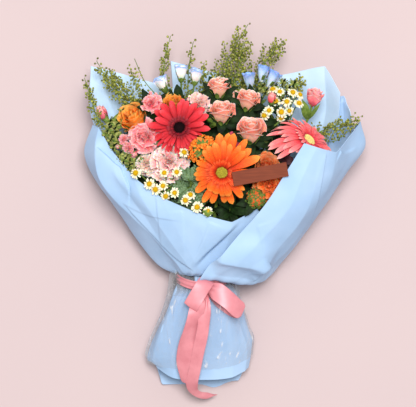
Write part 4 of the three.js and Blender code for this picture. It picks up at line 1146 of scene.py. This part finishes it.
def tuft(piece, start, at):
    """A twig that ends in a ball of small yellow-green leaves and pods."""
    tube(piece, [start, (start + at) / 2 - (0, 0, 6), at], 0.7, TWIG_SLOT, steps=8, sides=5)
    for k in range(TUFT_LEAVES):
        out = polar(1, k * GOLDEN, piece.draw(-0.2, 1.1))
        tip = at + unit(out) * piece.draw(6, 11)
        # Every fourth leaf takes the dark leaf colour, with its painted shade.
        slot = (TUFT_SLOT, TWIG_SLOT, TUFT_SLOT, DARK_LEAF_AND_SHADE_SLOT)[k % 4]
        blade(piece, at, tip, piece.draw(1.8, 3.2), slot, rows=5, columns=4)
        if k % 3:
            round_pod(piece, tip, out, 1.5)


def pods_along(piece, line, stalk, size):
    """Pods set round a twig, each on its own thin stalk."""
    ahead = unit(np.gradient(line, axis=0))
    for k, (spot, direction) in enumerate(zip(line, ahead)):
        turn = k * GOLDEN + piece.draw(-0.3, 0.3)
        around = basis(direction)
        out = unit(math.cos(turn) * around[0] + math.sin(turn) * around[1] + 0.55 * direction)
        end = spot + out * stalk * piece.draw(0.7, 1.2)
        end[2] = max(end[2], 3.0)
        tube(piece, [spot, end], 0.22, TWIG_SLOT, sides=3)
        facing = np.array([piece.draw(-1, 1), piece.draw(-0.6, 0.6), 1.0])
        round_pod(piece, end, facing, size * piece.draw(0.75, 1.2))


# ---- Leafy stems ----

# Each: node, slot in the record, material, its line, leaves, their length and their width.
LEAFY = [
    # The dark foliage takes the dark leaf colour, darkened further as painted shade.
    ("dark_foliage", "dark_leaf", DARK_LEAF_AND_SHADE, [(10, -24, 82), (8, 4, 126)], 36, 32, 14),
    ("burgundy_foliage", "burgundy_leaf", BURGUNDY, [(84, 62, 100), (88, 82, 118)], 16, 22, 13),
    ("pale_foliage", "pale_leaf", PALE, [(-50, 26, 106), (-50, 44, 138)], 132, 30, 2.8),
]


def make_foliage(name, record_slot, material, line, leaves, length, width):
    """A leafy stem. The pale one has twigs of leaflets in place of every fourth leaf."""
    piece = Piece(name)
    line = np.array(line, float)
    cut = stem_of(piece, line[0][1] - BEND_ROOM)
    tube(piece, [cut, (cut + line[0]) / 2, *line], 1.6, GREEN_SLOT, end_radius=1.0, steps=16, sides=6)
    steps = 40
    axis = spline([cut, *line], steps)
    for k in range(leaves):
        share = 0.35 + 0.65 * k / leaves
        base = axis[int(share * steps)]
        out = polar(1, k * GOLDEN, piece.draw(0.0, 0.5))
        tip = base + unit(out) * (length * piece.draw(0.7, 1.1))
        if material is not PALE:
            blade(piece, base, tip, width * piece.draw(0.75, 1.15), arch=piece.draw(0.05, 0.22), wave=0.05)
        elif k % 4 == 0:
            leaflets(piece, base, tip, width)
    piece.finish((material, material, material, GREEN, DARK_LEAF_AND_SHADE))


def leaflets(piece, base, tip, width):
    """A thin twig with small oval leaves in pairs."""
    twig = spline([base, (base + tip) / 2 + (0, 0, 3), tip], 8)
    tube(piece, twig, 0.5, GREEN_SLOT, sides=4)
    ahead = unit(tip - base)
    side = unit(np.cross(ahead, (0, 0, 1)))
    for spot in twig[2:]:
        for sign in (-1, 1):
            end = spot + (side * sign * 0.9 + ahead * 0.6) * 2.1 * width
            end[2] += piece.draw(-1.5, 2.5)
            blade(piece, spot, end, width, rows=6, columns=4)


# ---- The paper ----

# Each sheet: its radius round the tie and its Y at the neck, and its ribs. Each rib: its angle at the
# neck, then its points out to the rim.
SHEETS = {
    "paper_back_centre": (33.8, -91.4, [
        [245, (-44, -60, 6), (-52, -11, 0.5), (-61, 63, 0.5), (-73, 139, 0.5), (-81, 229, 5)],
        [260, (-34, -60, 5), (-32, -11, 0.5), (-32, 63, 0.5), (-35, 139, 0.5), (-36, 217, 1)],
        [278, (-20, -60, 5), (-9, -11, 0.5), (2, 63, 0.5), (10, 139, 0.5), (17, 203, 1)],
        [295, (-6, -60, 7), (13, -11, 1), (34, 63, 2), (49, 136, 2), (59, 191, 4)]]),
    "paper_back_right": (32.0, -91.4, [
        [255, (-32, -60, 10), (-32, -11, 4), (-30, 62, 4), (-26, 127, 4), (-27, 185, 4)],
        [275, (-16, -60, 10), (-3, -11, 4), (10, 62, 4), (17, 127, 5), (16, 194, 6)],
        [292, (-2, -60, 13), (25, -11, 8), (46, 62, 9), (60, 133, 11), (58, 201, 16)],
        [310, (12, -60, 19), (52, -9, 14), (87, 65, 18), (107, 138, 24), (102, 209, 30)],
        [330, (20, -59, 29), (76, -5, 26), (127, 70, 35), (153, 140, 46), (152, 218, 54)],
        [350, (24, -59, 41), (84, 0, 40), (138, 77, 56), (170, 134, 70), (174, 177, 74)]]),
    "paper_back_left": (30.2, -91.4, [
        [180, (-82, -59, 45), (-139, 9, 42), (-178, 89, 56), (-201, 150, 66), (-200, 218, 60)],
        [200, (-72, -59, 31), (-115, 4, 24), (-150, 85, 32), (-168, 150, 42), (-163, 210, 40)],
        [218, (-60, -60, 22), (-88, -2, 16), (-117, 78, 20), (-129, 144, 26), (-126, 200, 25)],
        [236, (-48, -60, 17), (-61, -6, 11), (-80, 70, 12), (-87, 136, 15), (-88, 190, 16)],
        [254, (-34, -60, 15), (-35, -11, 8), (-42, 65, 8), (-47, 130, 9), (-51, 180, 10)],
        [272, (-20, -60, 15), (-10, -14, 8), (-7, 62, 8), (-7, 127, 8), (-12, 172, 8)]]),
    "paper_side_right": (33.8, -91.4, [
        [318, (20, -62, 17), (84, -17, 15), (137, 56, 22), (163, 123, 32), (166, 171, 40)],
        [335, (30, -61, 28), (97, -14, 28), (150, 59, 38), (180, 125, 52), (180, 173, 62)],
        [352, (32, -60, 42), (101, -13, 43), (160, 62, 56), (190, 118, 70), (189, 151, 76)],
        [369, (32, -60, 54), (101, -10, 58), (163, 64, 76), (194, 109, 86), (193, 127, 92)]]),
    "paper_front_left": (37.3, -97, [
        [200, (-90, -86, 26), (-155, 7, 16), (-200, 80, 30), (-194, 119, 50)],
        [180, (-100, -80, 46), (-167, 10, 52), (-210, 84, 66), (-197, 129, 80)],
        [160, (-82, -72, 80), (-140, -8, 102), (-186, 48, 110), (-191, 97, 108), (-187, 124, 96)],
        [142, (-66, -90, 84), (-120, -4, 114), (-160, 52, 125), (-164, 87, 118)],
        [126, (-50, -92, 92), (-95, -22, 122), (-123, 22, 134), (-136, 52, 133)],
        [112, (-38, -93, 94), (-64, -37, 124), (-83, -1, 137), (-94, 21, 141)],
        [98, (-26, -93, 94), (-28, -49, 124), (-36, -22, 138), (-43, -1, 144)],
        [84, (-14, -92, 93), (4, -52, 122), (8, -31, 137), (11, -16, 143)],
        [70, (-4, -90, 88), (31, -48, 112), (48, -24, 124), (57, 8, 130)]]),
    "paper_front_right": (39.2, -103, [
        [96, (-37, -102, 103), (-18, -74, 118), (19, -37, 138), (59, 9, 158), (88, 54, 168), (116, 99, 173)],
        [78, (-16, -101, 104), (14, -72, 118), (47, -48, 136), (93, 2, 158), (113, 48, 168), (135, 93, 172)],
        [56, (14, -106, 95), (40, -84, 102), (75, -58, 114), (119, -4, 140), (134, 43, 155), (150, 89, 163)],
        [34, (42, -110, 76), (64, -88, 78), (94, -58, 88), (139, 8, 112), (156, 46, 134), (165, 87, 148)],
        [12, (56, -107, 54), (80, -82, 54), (110, -44, 62), (160, 25, 84), (178, 67, 105), (186, 111, 122)],
        [-10, (62, -102, 36), (92, -72, 36), (132, -20, 42), (185, 59, 60), (210, 97, 78), (203, 133, 95)],
        [-30, (50, -90, 18), (72, -64, 14), (108, -23, 7), (166, 47, 14), (193, 98, 38), (197, 128, 58)]]),
}

# Folds pressed into a sheet: a line in plan, the side that is raised or, below zero, sunk (1 left of
# the line, -1 right), its height, how far that side takes to come back, how far the other does, and
# the share of the line over which the fold begins.
FOLDS = {
    "paper_front_left": [
        ([(-191, 96), (-177, 85.4), (-163.7, 73), (-153.5, 65), (-149, 54.6), (-143.2, 40.1), (-140.7, 26.6),
          (-141, -6)], 1, -5, 17, 1.5),
        ([(-44, -92), (-70, -74), (-92, -52), (-130, -12), (-154, 16)], 1, -3.4, 24, 0.8, 0.1),
        ([(-100, 22), (-96, -20), (-92, -60)], 1, 1.3, 24, 2),
        ([(-62, 2), (-60, -30), (-60, -70)], -1, 1.2, 26, 2),
        ([(-150, 12), (-110, -6), (-60, -14)], 1, 1.0, 20, 3),
        ([(-20, -14), (-34, -50), (-52, -88)], 1, 1.6, 26, 3),
        ([(31, -11), (17, -27), (0, -45), (-22, -66), (-48, -92)], 1, -6.5, 24, 7, 0.5),
    ],
    "paper_front_right": [
        ([(-30, -66), (-12, -67), (1.3, -69.8), (31, -73.2), (56.7, -76.6), (74, -83)], -1, 16, 27, 44, 0.34),
        ([(68.3, -80.7), (58, -88), (48.8, -96.5), (40, -108)], -1, 5, 16, 3),
        ([(48, -20), (56, -46), (60, -72)], 1, 1.1, 34, 2),
        ([(149, 84), (142, 45), (135, 6), (127, -24)], -1, 1.8, 11, 1),
        ([(170, 88), (176, 86), (198, 96)], -1, 2.6, 20, 1.5),
    ],
    "paper_back_left": [([(-194, 214), (-160, 130), (-120, 40)], 1, 3.0, 34, 3)],
    "paper_back_right": [([(112, 205), (116, 130), (90, 60)], -1, 2.4, 34, 3)],
    "paper_side_right": [([(178, 170), (164, 110), (140, 50)], 1, 2.4, 24, 3)],
}
# How far the paper runs straight from rib to rib, which leaves a crease at each.
CREASED = {
    "paper_front_left": 0.8, "paper_front_right": 0.5, "paper_side_right": 0.7, "paper_back_left": 0.6,
    "paper_back_right": 0.75, "paper_back_centre": 0.4}
SHEET_COLUMNS, SHEET_ROWS = 180, 150
FOLD_STEPS = 40
PAPER_HALF, RIBBON_HALF = 0.3, 0.25  # half the thickness that each is drawn with


def normals_of(net, wrap=False):
    if wrap:
        around = np.concatenate([net[:, -1:], net, net[:, :1]], 1)
        across = np.gradient(around, axis=1)[:, 1:-1]
    else:
        across = np.gradient(net, axis=1)
    return unit(np.cross(across, np.gradient(net, axis=0)))


def creased(ribs, count, share):
    """A net across the ribs: straight runs between them mixed with a smooth curve through them."""
    place = np.linspace(0, len(ribs) - 1, count + 1)
    k = np.minimum(place.astype(int), len(ribs) - 2)
    t = (place - k)[:, None, None]
    return share * (ribs[k] * (1 - t) + ribs[k + 1] * t) + (1 - share) * spline(ribs, count)


def folded(net, line, side, height, reach, back, begins=0.06):
    """The net with one side of a line in plan raised, sharply at the line and fading away from it."""
    line = spline(line, FOLD_STEPS)
    flat = net[..., :2]
    best = np.full(flat.shape[:-1], 1e9)
    signed = np.zeros(flat.shape[:-1])
    share = np.zeros(flat.shape[:-1])
    for k, (a, b) in enumerate(zip(line[:-1], line[1:])):
        along = b - a
        t = np.clip(((flat - a) @ along) / (along @ along), 0, 1)
        away = flat - (a + t[..., None] * along)
        distance = np.linalg.norm(away, axis=-1)
        turn = along[0] * away[..., 1] - along[1] * away[..., 0]
        nearer = distance < best
        best = np.where(nearer, distance, best)
        signed = np.where(nearer, distance * np.sign(turn), signed)
        share = np.where(nearer, (k + t) / FOLD_STEPS, share)
    across = signed * side
    fade = smooth(0, begins, share) * (1 - smooth(0.75, 1.0, share))
    raised = np.clip(1 - across / reach, 0, 1) ** 1.3 * smooth(-back, 0.2, across)
    return net + normals_of(net) * (height * fade * raised)[..., None]


def thick_sheet(piece, net, half, wrap=False):
    """Both faces of a sheet and its rims."""
    normals = normals_of(net, wrap)
    for side in (1, -1):
        face = net + normals * half * side
        face[..., 2] = np.maximum(face[..., 2], 0.0)
        piece.grid(face if side > 0 else face[::-1], wrap=wrap, chance=0.5)
    upper, lower = net + normals * half, net - normals * half
    for row in (0, -1):
        piece.grid(np.stack([upper[row], lower[row]]), wrap=wrap, chance=0.5)
    if not wrap:
        for column in (0, -1):
            piece.grid(np.stack([upper[:, column], lower[:, column]]), chance=0.5)


def make_paper(name):
    """A sheet that flares from the neck, creased at its ribs, folded, waved and gathered at the tie."""
    radius, y, ribs = SHEETS[name]
    piece = Piece(name)
    lines = []
    for angle, *points in ribs:
        lines.append(spline([round_tie(radius, math.radians(angle), y), *points], SHEET_ROWS))
    net = creased(np.array(lines), SHEET_COLUMNS, CREASED[name]).transpose(1, 0, 2)
    for fold in FOLDS.get(name, []):
        net = folded(net, *fold)
    rows = np.linspace(0, 1, SHEET_ROWS + 1)[:, None]
    calm = smooth(0.02, 0.25, rows)
    height = wobble(net, 62, 1.0) * 1.6 + wobble(net, 24, 2.0) * 0.5
    net = net + normals_of(net) * (height * calm)[..., None]
    gather = 0.9 * np.sin(np.linspace(0, 1, SHEET_COLUMNS + 1)[None, :] * 46 + 3 * np.sin(rows * 3))
    gather = gather * (1 - smooth(0.0, 0.38, rows)) * smooth(0, 0.06, rows)
    net = net + normals_of(net) * gather[..., None]
    net[..., 2] = np.maximum(net[..., 2], PAPER_HALF)
    thick_sheet(piece, net, PAPER_HALF)
    # The back and side sheets take the paler copy of the paper, as painted light on sheets in shade.
    piece.finish((PAPER if name.startswith("paper_front") else PAPER_PAINTED_LIGHT,))


# ---- The skirt and the film round the stems' lower ends ----

# Rings of [y, centre x, centre z, half width, half height, depth of the gathers].
SKIRT_RINGS = [
    (-92, -32, 47, 28.4, 28.4, 4.5), (-104, -32, 47, 29.5, 28.4, 4), (-112, -32, 46, 39, 30, 3.5),
    (-120, -31, 45, 44, 34, 3.5), (-130, -31, 44, 48.5, 37, 3), (-150, -31, 42, 57, 39.5, 3),
    (-172, -33, 38, 66, 39, 2), (-200, -34.5, 34, 76, 36, 1), (-222, -37, 30, 79, 33, 0),
    (-242, -36, 26, 76, 29, 0), (-258, -35, 23, 72, 26, 0)]
GATHERS = 7
HEM_FRONT, HEM_BACK = -255, -265  # Y of the cut hem in its middle
# Where the skirt's flat facets meet round its section, in degrees, at its top and at its hem.
CORNERS_TOP = np.array([0, 34, 62, 84, 112, 140, 180, 222, 262, 300, 336, 360])
CORNERS_HEM = np.array([0, 22, 48, 92, 124, 156, 180, 214, 246, 292, 330, 360])
FILM_RINGS = [
    (-86, -31, 47, 47, 29), (-96, -31, 47, 51, 31), (-113, -31, 47, 53, 33), (-126, -31, 46, 54, 38),
    (-136, -31, 45, 57, 43), (-150, -31, 42, 62, 45), (-172, -33, 38, 70, 44), (-200, -34, 34, 79, 40),
    (-222, -37, 30, 81, 36), (-238, -36, 27, 79, 32)]
# The inner, more crumpled layer at the neck. The film's rings have no gathers.
NECK_RINGS = [
    (-86, -31, 47, 43, 28), (-100, -31, 47, 46, 29), (-114, -31, 47, 48, 31), (-128, -31, 46, 51.5, 35)]
# Each layer of film: its rings, its rows, the depth of its crumples and their seed.
FILM_LAYERS = [(FILM_RINGS, 190, 5.5, 8.0), (NECK_RINGS, 60, 7.0, 3.0)]


def faceted(turn, corners):
    """A point of the many-sided section at each turn, for a circle of radius 1."""
    corners = np.radians(corners)
    return np.stack([np.interp(turn, corners, np.cos(corners)), np.interp(turn, corners, np.sin(corners))])


def make_skirt():
    """The skirt: round and gathered at the tie, faceted and flared below it, with a cut hem."""
    piece = Piece("paper_skirt")
    columns, rows = 280, 170
    rings = creased(np.array(SKIRT_RINGS, float)[:, None], rows, 0.7)[:, 0]
    y, x, z, wide, high, depth = rings.T[:, :, None]
    turn = full_circle(columns)
    down = np.linspace(0, 1, rows + 1)[:, None]
    right, top = np.cos(turn), np.sin(turn)
    ribs = [(1 - d) * CORNERS_TOP + d * CORNERS_HEM for d in down[:, 0]]
    flat = np.stack([faceted(turn, corners) for corners in ribs], 1)
    share = 0.85 * smooth(0.3, 0.5, down)
    px, pz = (1 - share) * np.stack([right, top])[:, None] + share * flat
    fold = depth * np.cos(GATHERS * turn)
    front = HEM_FRONT + np.where(right > 0, 17, 26) * np.abs(right) ** 4
    point = np.exp(-((right - 0.27) / 0.17) ** 2)
    back = HEM_BACK - 5 * point + 6 * smooth(0.4, 0.8, right) + 38 * smooth(0.8, 1.0, np.abs(right))
    hem = np.where(top > 0, front, back)
    left = 0.5 - 0.5 * right
    y = y + (hem - SKIRT_RINGS[-1][0]) * ((1 - left) * smooth(0.6, 1.0, down) + left * smooth(0.8, 1.0, down))
    net = np.stack([x + (wide + fold) * px, y + 0 * px, z + (high + fold) * pz], -1)
    fine = np.sin(turn * 31 + 4 * np.sin(down * 6)) * 0.8 * (1 - smooth(0.3, 0.6, down))
    height = (fine + wobble(net, 34, 5.0) * 1.4) * smooth(0, 0.08, down)
    net = net - normals_of(net, True) * height[..., None]
    net[..., 2] = np.maximum(net[..., 2], 0.9)
    thick_sheet(piece, net, PAPER_HALF, wrap=True)
    piece.finish((PAPER,))


def make_film():
    """Crumpled clear film in two layers. The outer one's lower edge rises towards its sides."""
    piece = Piece("cellophane")
    turn = full_circle(300)
    for slot, (rings, rows, depth, seed) in enumerate(FILM_LAYERS):
        y, x, z, wide, high = spline(rings, rows).T[:, :, None]
        down = np.linspace(0, 1, rows + 1)[:, None]
        if rings is FILM_RINGS:
            y = y + np.where(np.cos(turn) < 0, 8, 20) * np.abs(np.cos(turn)) ** 3 * smooth(0.6, 1.0, down)
        net = np.stack([x + wide * np.cos(turn), y + 0 * turn, z + high * np.sin(turn)], -1)
        drawn = net * np.array([1, 0.35, 1])
        ridges = np.abs(wobble(drawn, 16, seed)) + 0.5 * np.abs(wobble(drawn, 7, seed + 1))
        height = depth * ridges * (0.55 + 0.45 * (1 - smooth(0.5, 1.0, down)))
        net = net + normals_of(net, True) * (1.5 - height)[..., None]
        net[..., 2] = np.maximum(net[..., 2], 0.2)
        piece.grid(net, slot, wrap=True, chance=0.5)
    piece.finish((FILM, GATHERED_FILM))


# ---- The ribbon ----

BAND_RADIUS, BAND_HIGH, BAND_LOW, BAND_WIDE = 40, -98, -112, 13
KNOT = (-30, -113, 90)
# Each strip: its line, the way its width lies at each point, its width, whether it is pinched at its
# start and at its end, and the share by which it is drawn in past its half, where a loop turns.
LEFT_LOOP = (
    [(-31, -113, 84), (-25, -103, 95), (-31, -111, 104), (-42, -129, 105), (-50, -143, 100), (-46, -137, 95),
     (-34, -119, 90)],
    [(0.86, -0.51, 0)] * 7, 23, False, True)
RIGHT_LOOP = (
    [(-28, -113, 90), (-12, -119, 101), (6, -132, 103), (20, -145, 99), (28, -150, 91), (15, -145, 84),
     (-6, -130, 84), (-27, -115, 88)],
    [(0.64, 0.77, 0), (0.6, 0.8, -0.1), (0.5, 0.86, -0.25), (0.32, 0.95, -0.1), (0.22, 0.97, 0),
     (0.3, 0.95, 0), (0.5, 0.86, 0), (0.64, 0.77, 0)], 27, True, True, 0.45)
TAILS = [
    ([(-34, -114, 91), (-38, -134, 98), (-42, -153, 98), (-49.9, -178, 91), (-56.2, -199, 83),
      (-60.6, -224, 73), (-61, -242, 66), (-57, -256, 58), (-50, -264, 50)],
     [(1, 0.1, 0), (1, 0.1, 0.15), (1, 0.15, -0.1), (1, 0.2, -0.15), (1, 0.2, 0.05), (1, 0.15, 0.25),
      (1, 0, 0.3), (0.9, -0.3, 0.25), (0.8, -0.5, 0.2)], 23, True, False),
    ([(-31, -115, 89), (-28, -138, 96), (-30, -163, 94), (-33, -185, 90), (-39, -212, 82), (-44, -238, 71),
      (-48, -258, 60), (-46, -271, 45), (-36, -279, 31), (-23, -281, 21), (-11, -280, 14)],
     [(1, 0, 0), (1, 0, -0.25), (1, 0, -0.3), (1, 0, 0.1), (1, 0.1, 0.3), (1, 0.1, 0.1), (1, 0.2, 0.1),
      (0.8, 0.5, 0.3), (0.4, 0.8, 0.4), (0.2, 0.9, 0.4), (0, 1, 0.3)], 18, True, False)]


def ribbon_strip(piece, line, leans, width, pinch_start, pinch_end, rounded=0.0):
    """A strip of ribbon along a line, pinched into pleats where it enters the knot, and cut to a point
    if it ends free. Returns its length."""
    steps, columns = 110, 16
    centre = spline(line, steps)
    ahead = unit(np.gradient(centre, axis=0))
    lean = spline(leans, steps)
    across = unit(lean - ahead * (ahead * lean).sum(1)[:, None])
    normal = np.cross(ahead, across)
    t = np.linspace(0, 1, steps + 1)
    open_at = smooth(0, 0.18, t) if pinch_start else np.ones(steps + 1)
    if pinch_end:
        open_at = open_at * (1 - smooth(0.82, 1.0, t))
    a = np.linspace(-0.5, 0.5, columns + 1)
    half = width * (0.45 + 0.55 * open_at) * (1 - rounded * np.exp(-((t - 0.57) / 0.06) ** 2))
    if not pinch_end:
        half = half * (1 - 0.45 * smooth(0.6, 0.8, t)) * (1 - 0.9 * smooth(0.86, 1.0, t))
    pleat = (1.7 * (1 - open_at)[:, None] * np.sin(a * 16)[None, :]
             + 1.6 * np.sin(t * 13)[:, None] * a[None, :] * 2
             + 1.8 * np.cos(a * math.pi)[None, :] * (0.6 + 0.4 * np.sin(t * 9))[:, None])
    net = (centre[:, None] + across[:, None] * (half[:, None] * a)[..., None]
           + normal[:, None] * pleat[..., None])
    thick_sheet(piece, net, RIBBON_HALF)
    return float(np.linalg.norm(np.diff(centre, axis=0), axis=1).sum())


def make_ribbon():
    """The band round the neck, which dips to the knot in front, the loops, the tails and the knot."""
    piece = Piece("satin_ribbon")
    turn = full_circle(120)
    dip = BAND_HIGH + (BAND_LOW - BAND_HIGH) * np.maximum(0, np.sin(turn)) ** 1.5
    wide = np.linspace(BAND_WIDE / 2, -BAND_WIDE / 2, 11)[:, None]
    radius = BAND_RADIUS + 0.6 + 0.9 * np.sin(np.linspace(0, 4 * math.pi, 11) + 0.6)[:, None]
    thick_sheet(piece, round_tie(radius, turn, dip + wide), RIBBON_HALF, wrap=True)
    length = 2 * math.pi * BAND_RADIUS
    for strip in (*TAILS, LEFT_LOOP, RIGHT_LOOP):
        length += ribbon_strip(piece, *strip)
    knot(piece)
    made = piece.finish((SATIN,))


def knot(piece):
    """The knot: a short band wound over the crossing, plump in the middle and creased."""
    axes = basis((1, 0.2, 0))
    t = np.linspace(-1, 1, 13)[:, None]
    turn = full_circle(40)
    radius = 8.2 - 1.8 * t ** 2 + 0.45 * np.sin(3 * turn + 3 * t) + 0.35 * np.sin(9 * t)
    radius = radius * np.sqrt(np.maximum(1 - np.abs(t) ** 7, 0.02))
    local = np.stack([radius * np.cos(turn), radius * np.sin(turn) * 0.85, 8.6 * t + 0 * turn], -1)
    piece.grid(local @ axes + KNOT, wrap=True, chance=0.4)


# ---- The tie and the card ----

CORD_RADIUS, CORD_TURNS = 0.85, 5


def make_tie():
    """A cord wound round the neck, inside its node's box."""
    piece = Piece("binding_tie")
    low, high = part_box("binding_tie")
    radius = (high[0] - low[0]) / 2 / MM - 0.8
    steps = 90 * CORD_TURNS
    wind = np.linspace(0, 2 * math.pi * CORD_TURNS, steps)
    y = np.linspace(low[1] / MM + 0.9, high[1] / MM - 0.9, steps)
    tube(piece, round_tie(radius, wind, y), CORD_RADIUS, sides=6)
    piece.finish((CORD,))


CARD_SIZE = (81, 21, 1.6)
CARD_AT = (52, 54, 170.4)
CARD_RISE = 4.0  # degrees that its right end is raised


def make_card():
    """A bare card with softened edges."""
    piece = Piece("place_tag")
    long, wide, thick = CARD_SIZE
    bevel = 0.3
    turn, rise = math.radians(CARD_TURN), math.radians(CARD_RISE)
    levels = [(-bevel, 0), (0, bevel), (0, thick - bevel), (-bevel, thick)]
    rings = []
    for inset, height in levels:
        x, y = long / 2 + inset, wide / 2 + inset
        rings.append([(-x, -y, height), (x, -y, height), (x, y, height), (-x, y, height)])
    lean = np.array([[math.cos(rise), 0, math.sin(rise)], [0, 1, 0], [-math.sin(rise), 0, math.cos(rise)]])
    net = turned_about_z(np.array(rings) @ lean, turn) + CARD_AT
    piece.grid(net, wrap=True)
    for face in (net[0], net[-1]):
        piece.grid(np.array([[face[0], face[1]], [face[3], face[2]]]))
    made = piece.finish((CARD,))
    made.data.shade_flat()


# ---- The scene ----

# In metres.
CAMERA_AT = (-0.024, 0.01125, 3.537)
LAMP_AT = (0.25, 0.9, 4.6)
LAMP_AIM = (0, 0, 0.05)
LAMP_SIZE = 1.6
FLOOR_HALF = 4.0
FLOOR_DROP = 0.0005

LENS, SENSOR = 200, 36  # in mm
LAMP_WATTS = 222
LAMP_TINT = (1.0, 0.985, 0.97)
SKY_STRENGTH = 0.58
SKY_TINT = (1.0, 0.985, 0.98, 1)


def make_stage():
    data = bpy.data.meshes.new("floor")
    corners = [(x * FLOOR_HALF, y * FLOOR_HALF, 0) for x, y in ((-1, -1), (1, -1), (1, 1), (-1, 1))]
    data.from_pydata(corners, [], [(0, 1, 2, 3)])
    data.materials.append(floor_material())
    floor = placed("floor", data)
    floor.location.z = -FLOOR_DROP


def make_lamp():
    data = bpy.data.lights.new("key", "AREA")
    data.size = LAMP_SIZE
    data.energy = LAMP_WATTS
    data.color = LAMP_TINT
    lamp = placed("key", data)
    lamp.location = LAMP_AT
    lamp.rotation_euler = (Vector(LAMP_AIM) - Vector(LAMP_AT)).to_track_quat("-Z", "Y").to_euler()


def make_camera():
    """A long lens straight above the bouquet."""
    data = bpy.data.cameras.new("camera")
    data.sensor_width = SENSOR
    data.lens = LENS
    camera = placed("camera", data)
    camera.location = CAMERA_AT
    bpy.context.scene.camera = camera


def make_world():
    world = bpy.data.worlds.new("studio")
    world.use_nodes = True
    background = world.node_tree.nodes["Background"]
    background.inputs["Color"].default_value = SKY_TINT
    background.inputs["Strength"].default_value = SKY_STRENGTH
    bpy.context.scene.world = world
    bpy.context.scene.view_settings.view_transform = "Standard"


make_camera()
make_world()
make_stage()
make_lamp()

for bloom in BLOOMS:
    make_bloom(*bloom)
for spray in SPRAYS:
    make_spray(*spray)
for sprig in SPRIGS:
    make_sprig(*sprig)
for leafy in LEAFY:
    make_foliage(*leafy)
for sheet in SHEETS:
    make_paper(sheet)
make_skirt()
make_film()
make_ribbon()
make_tie()
make_card()
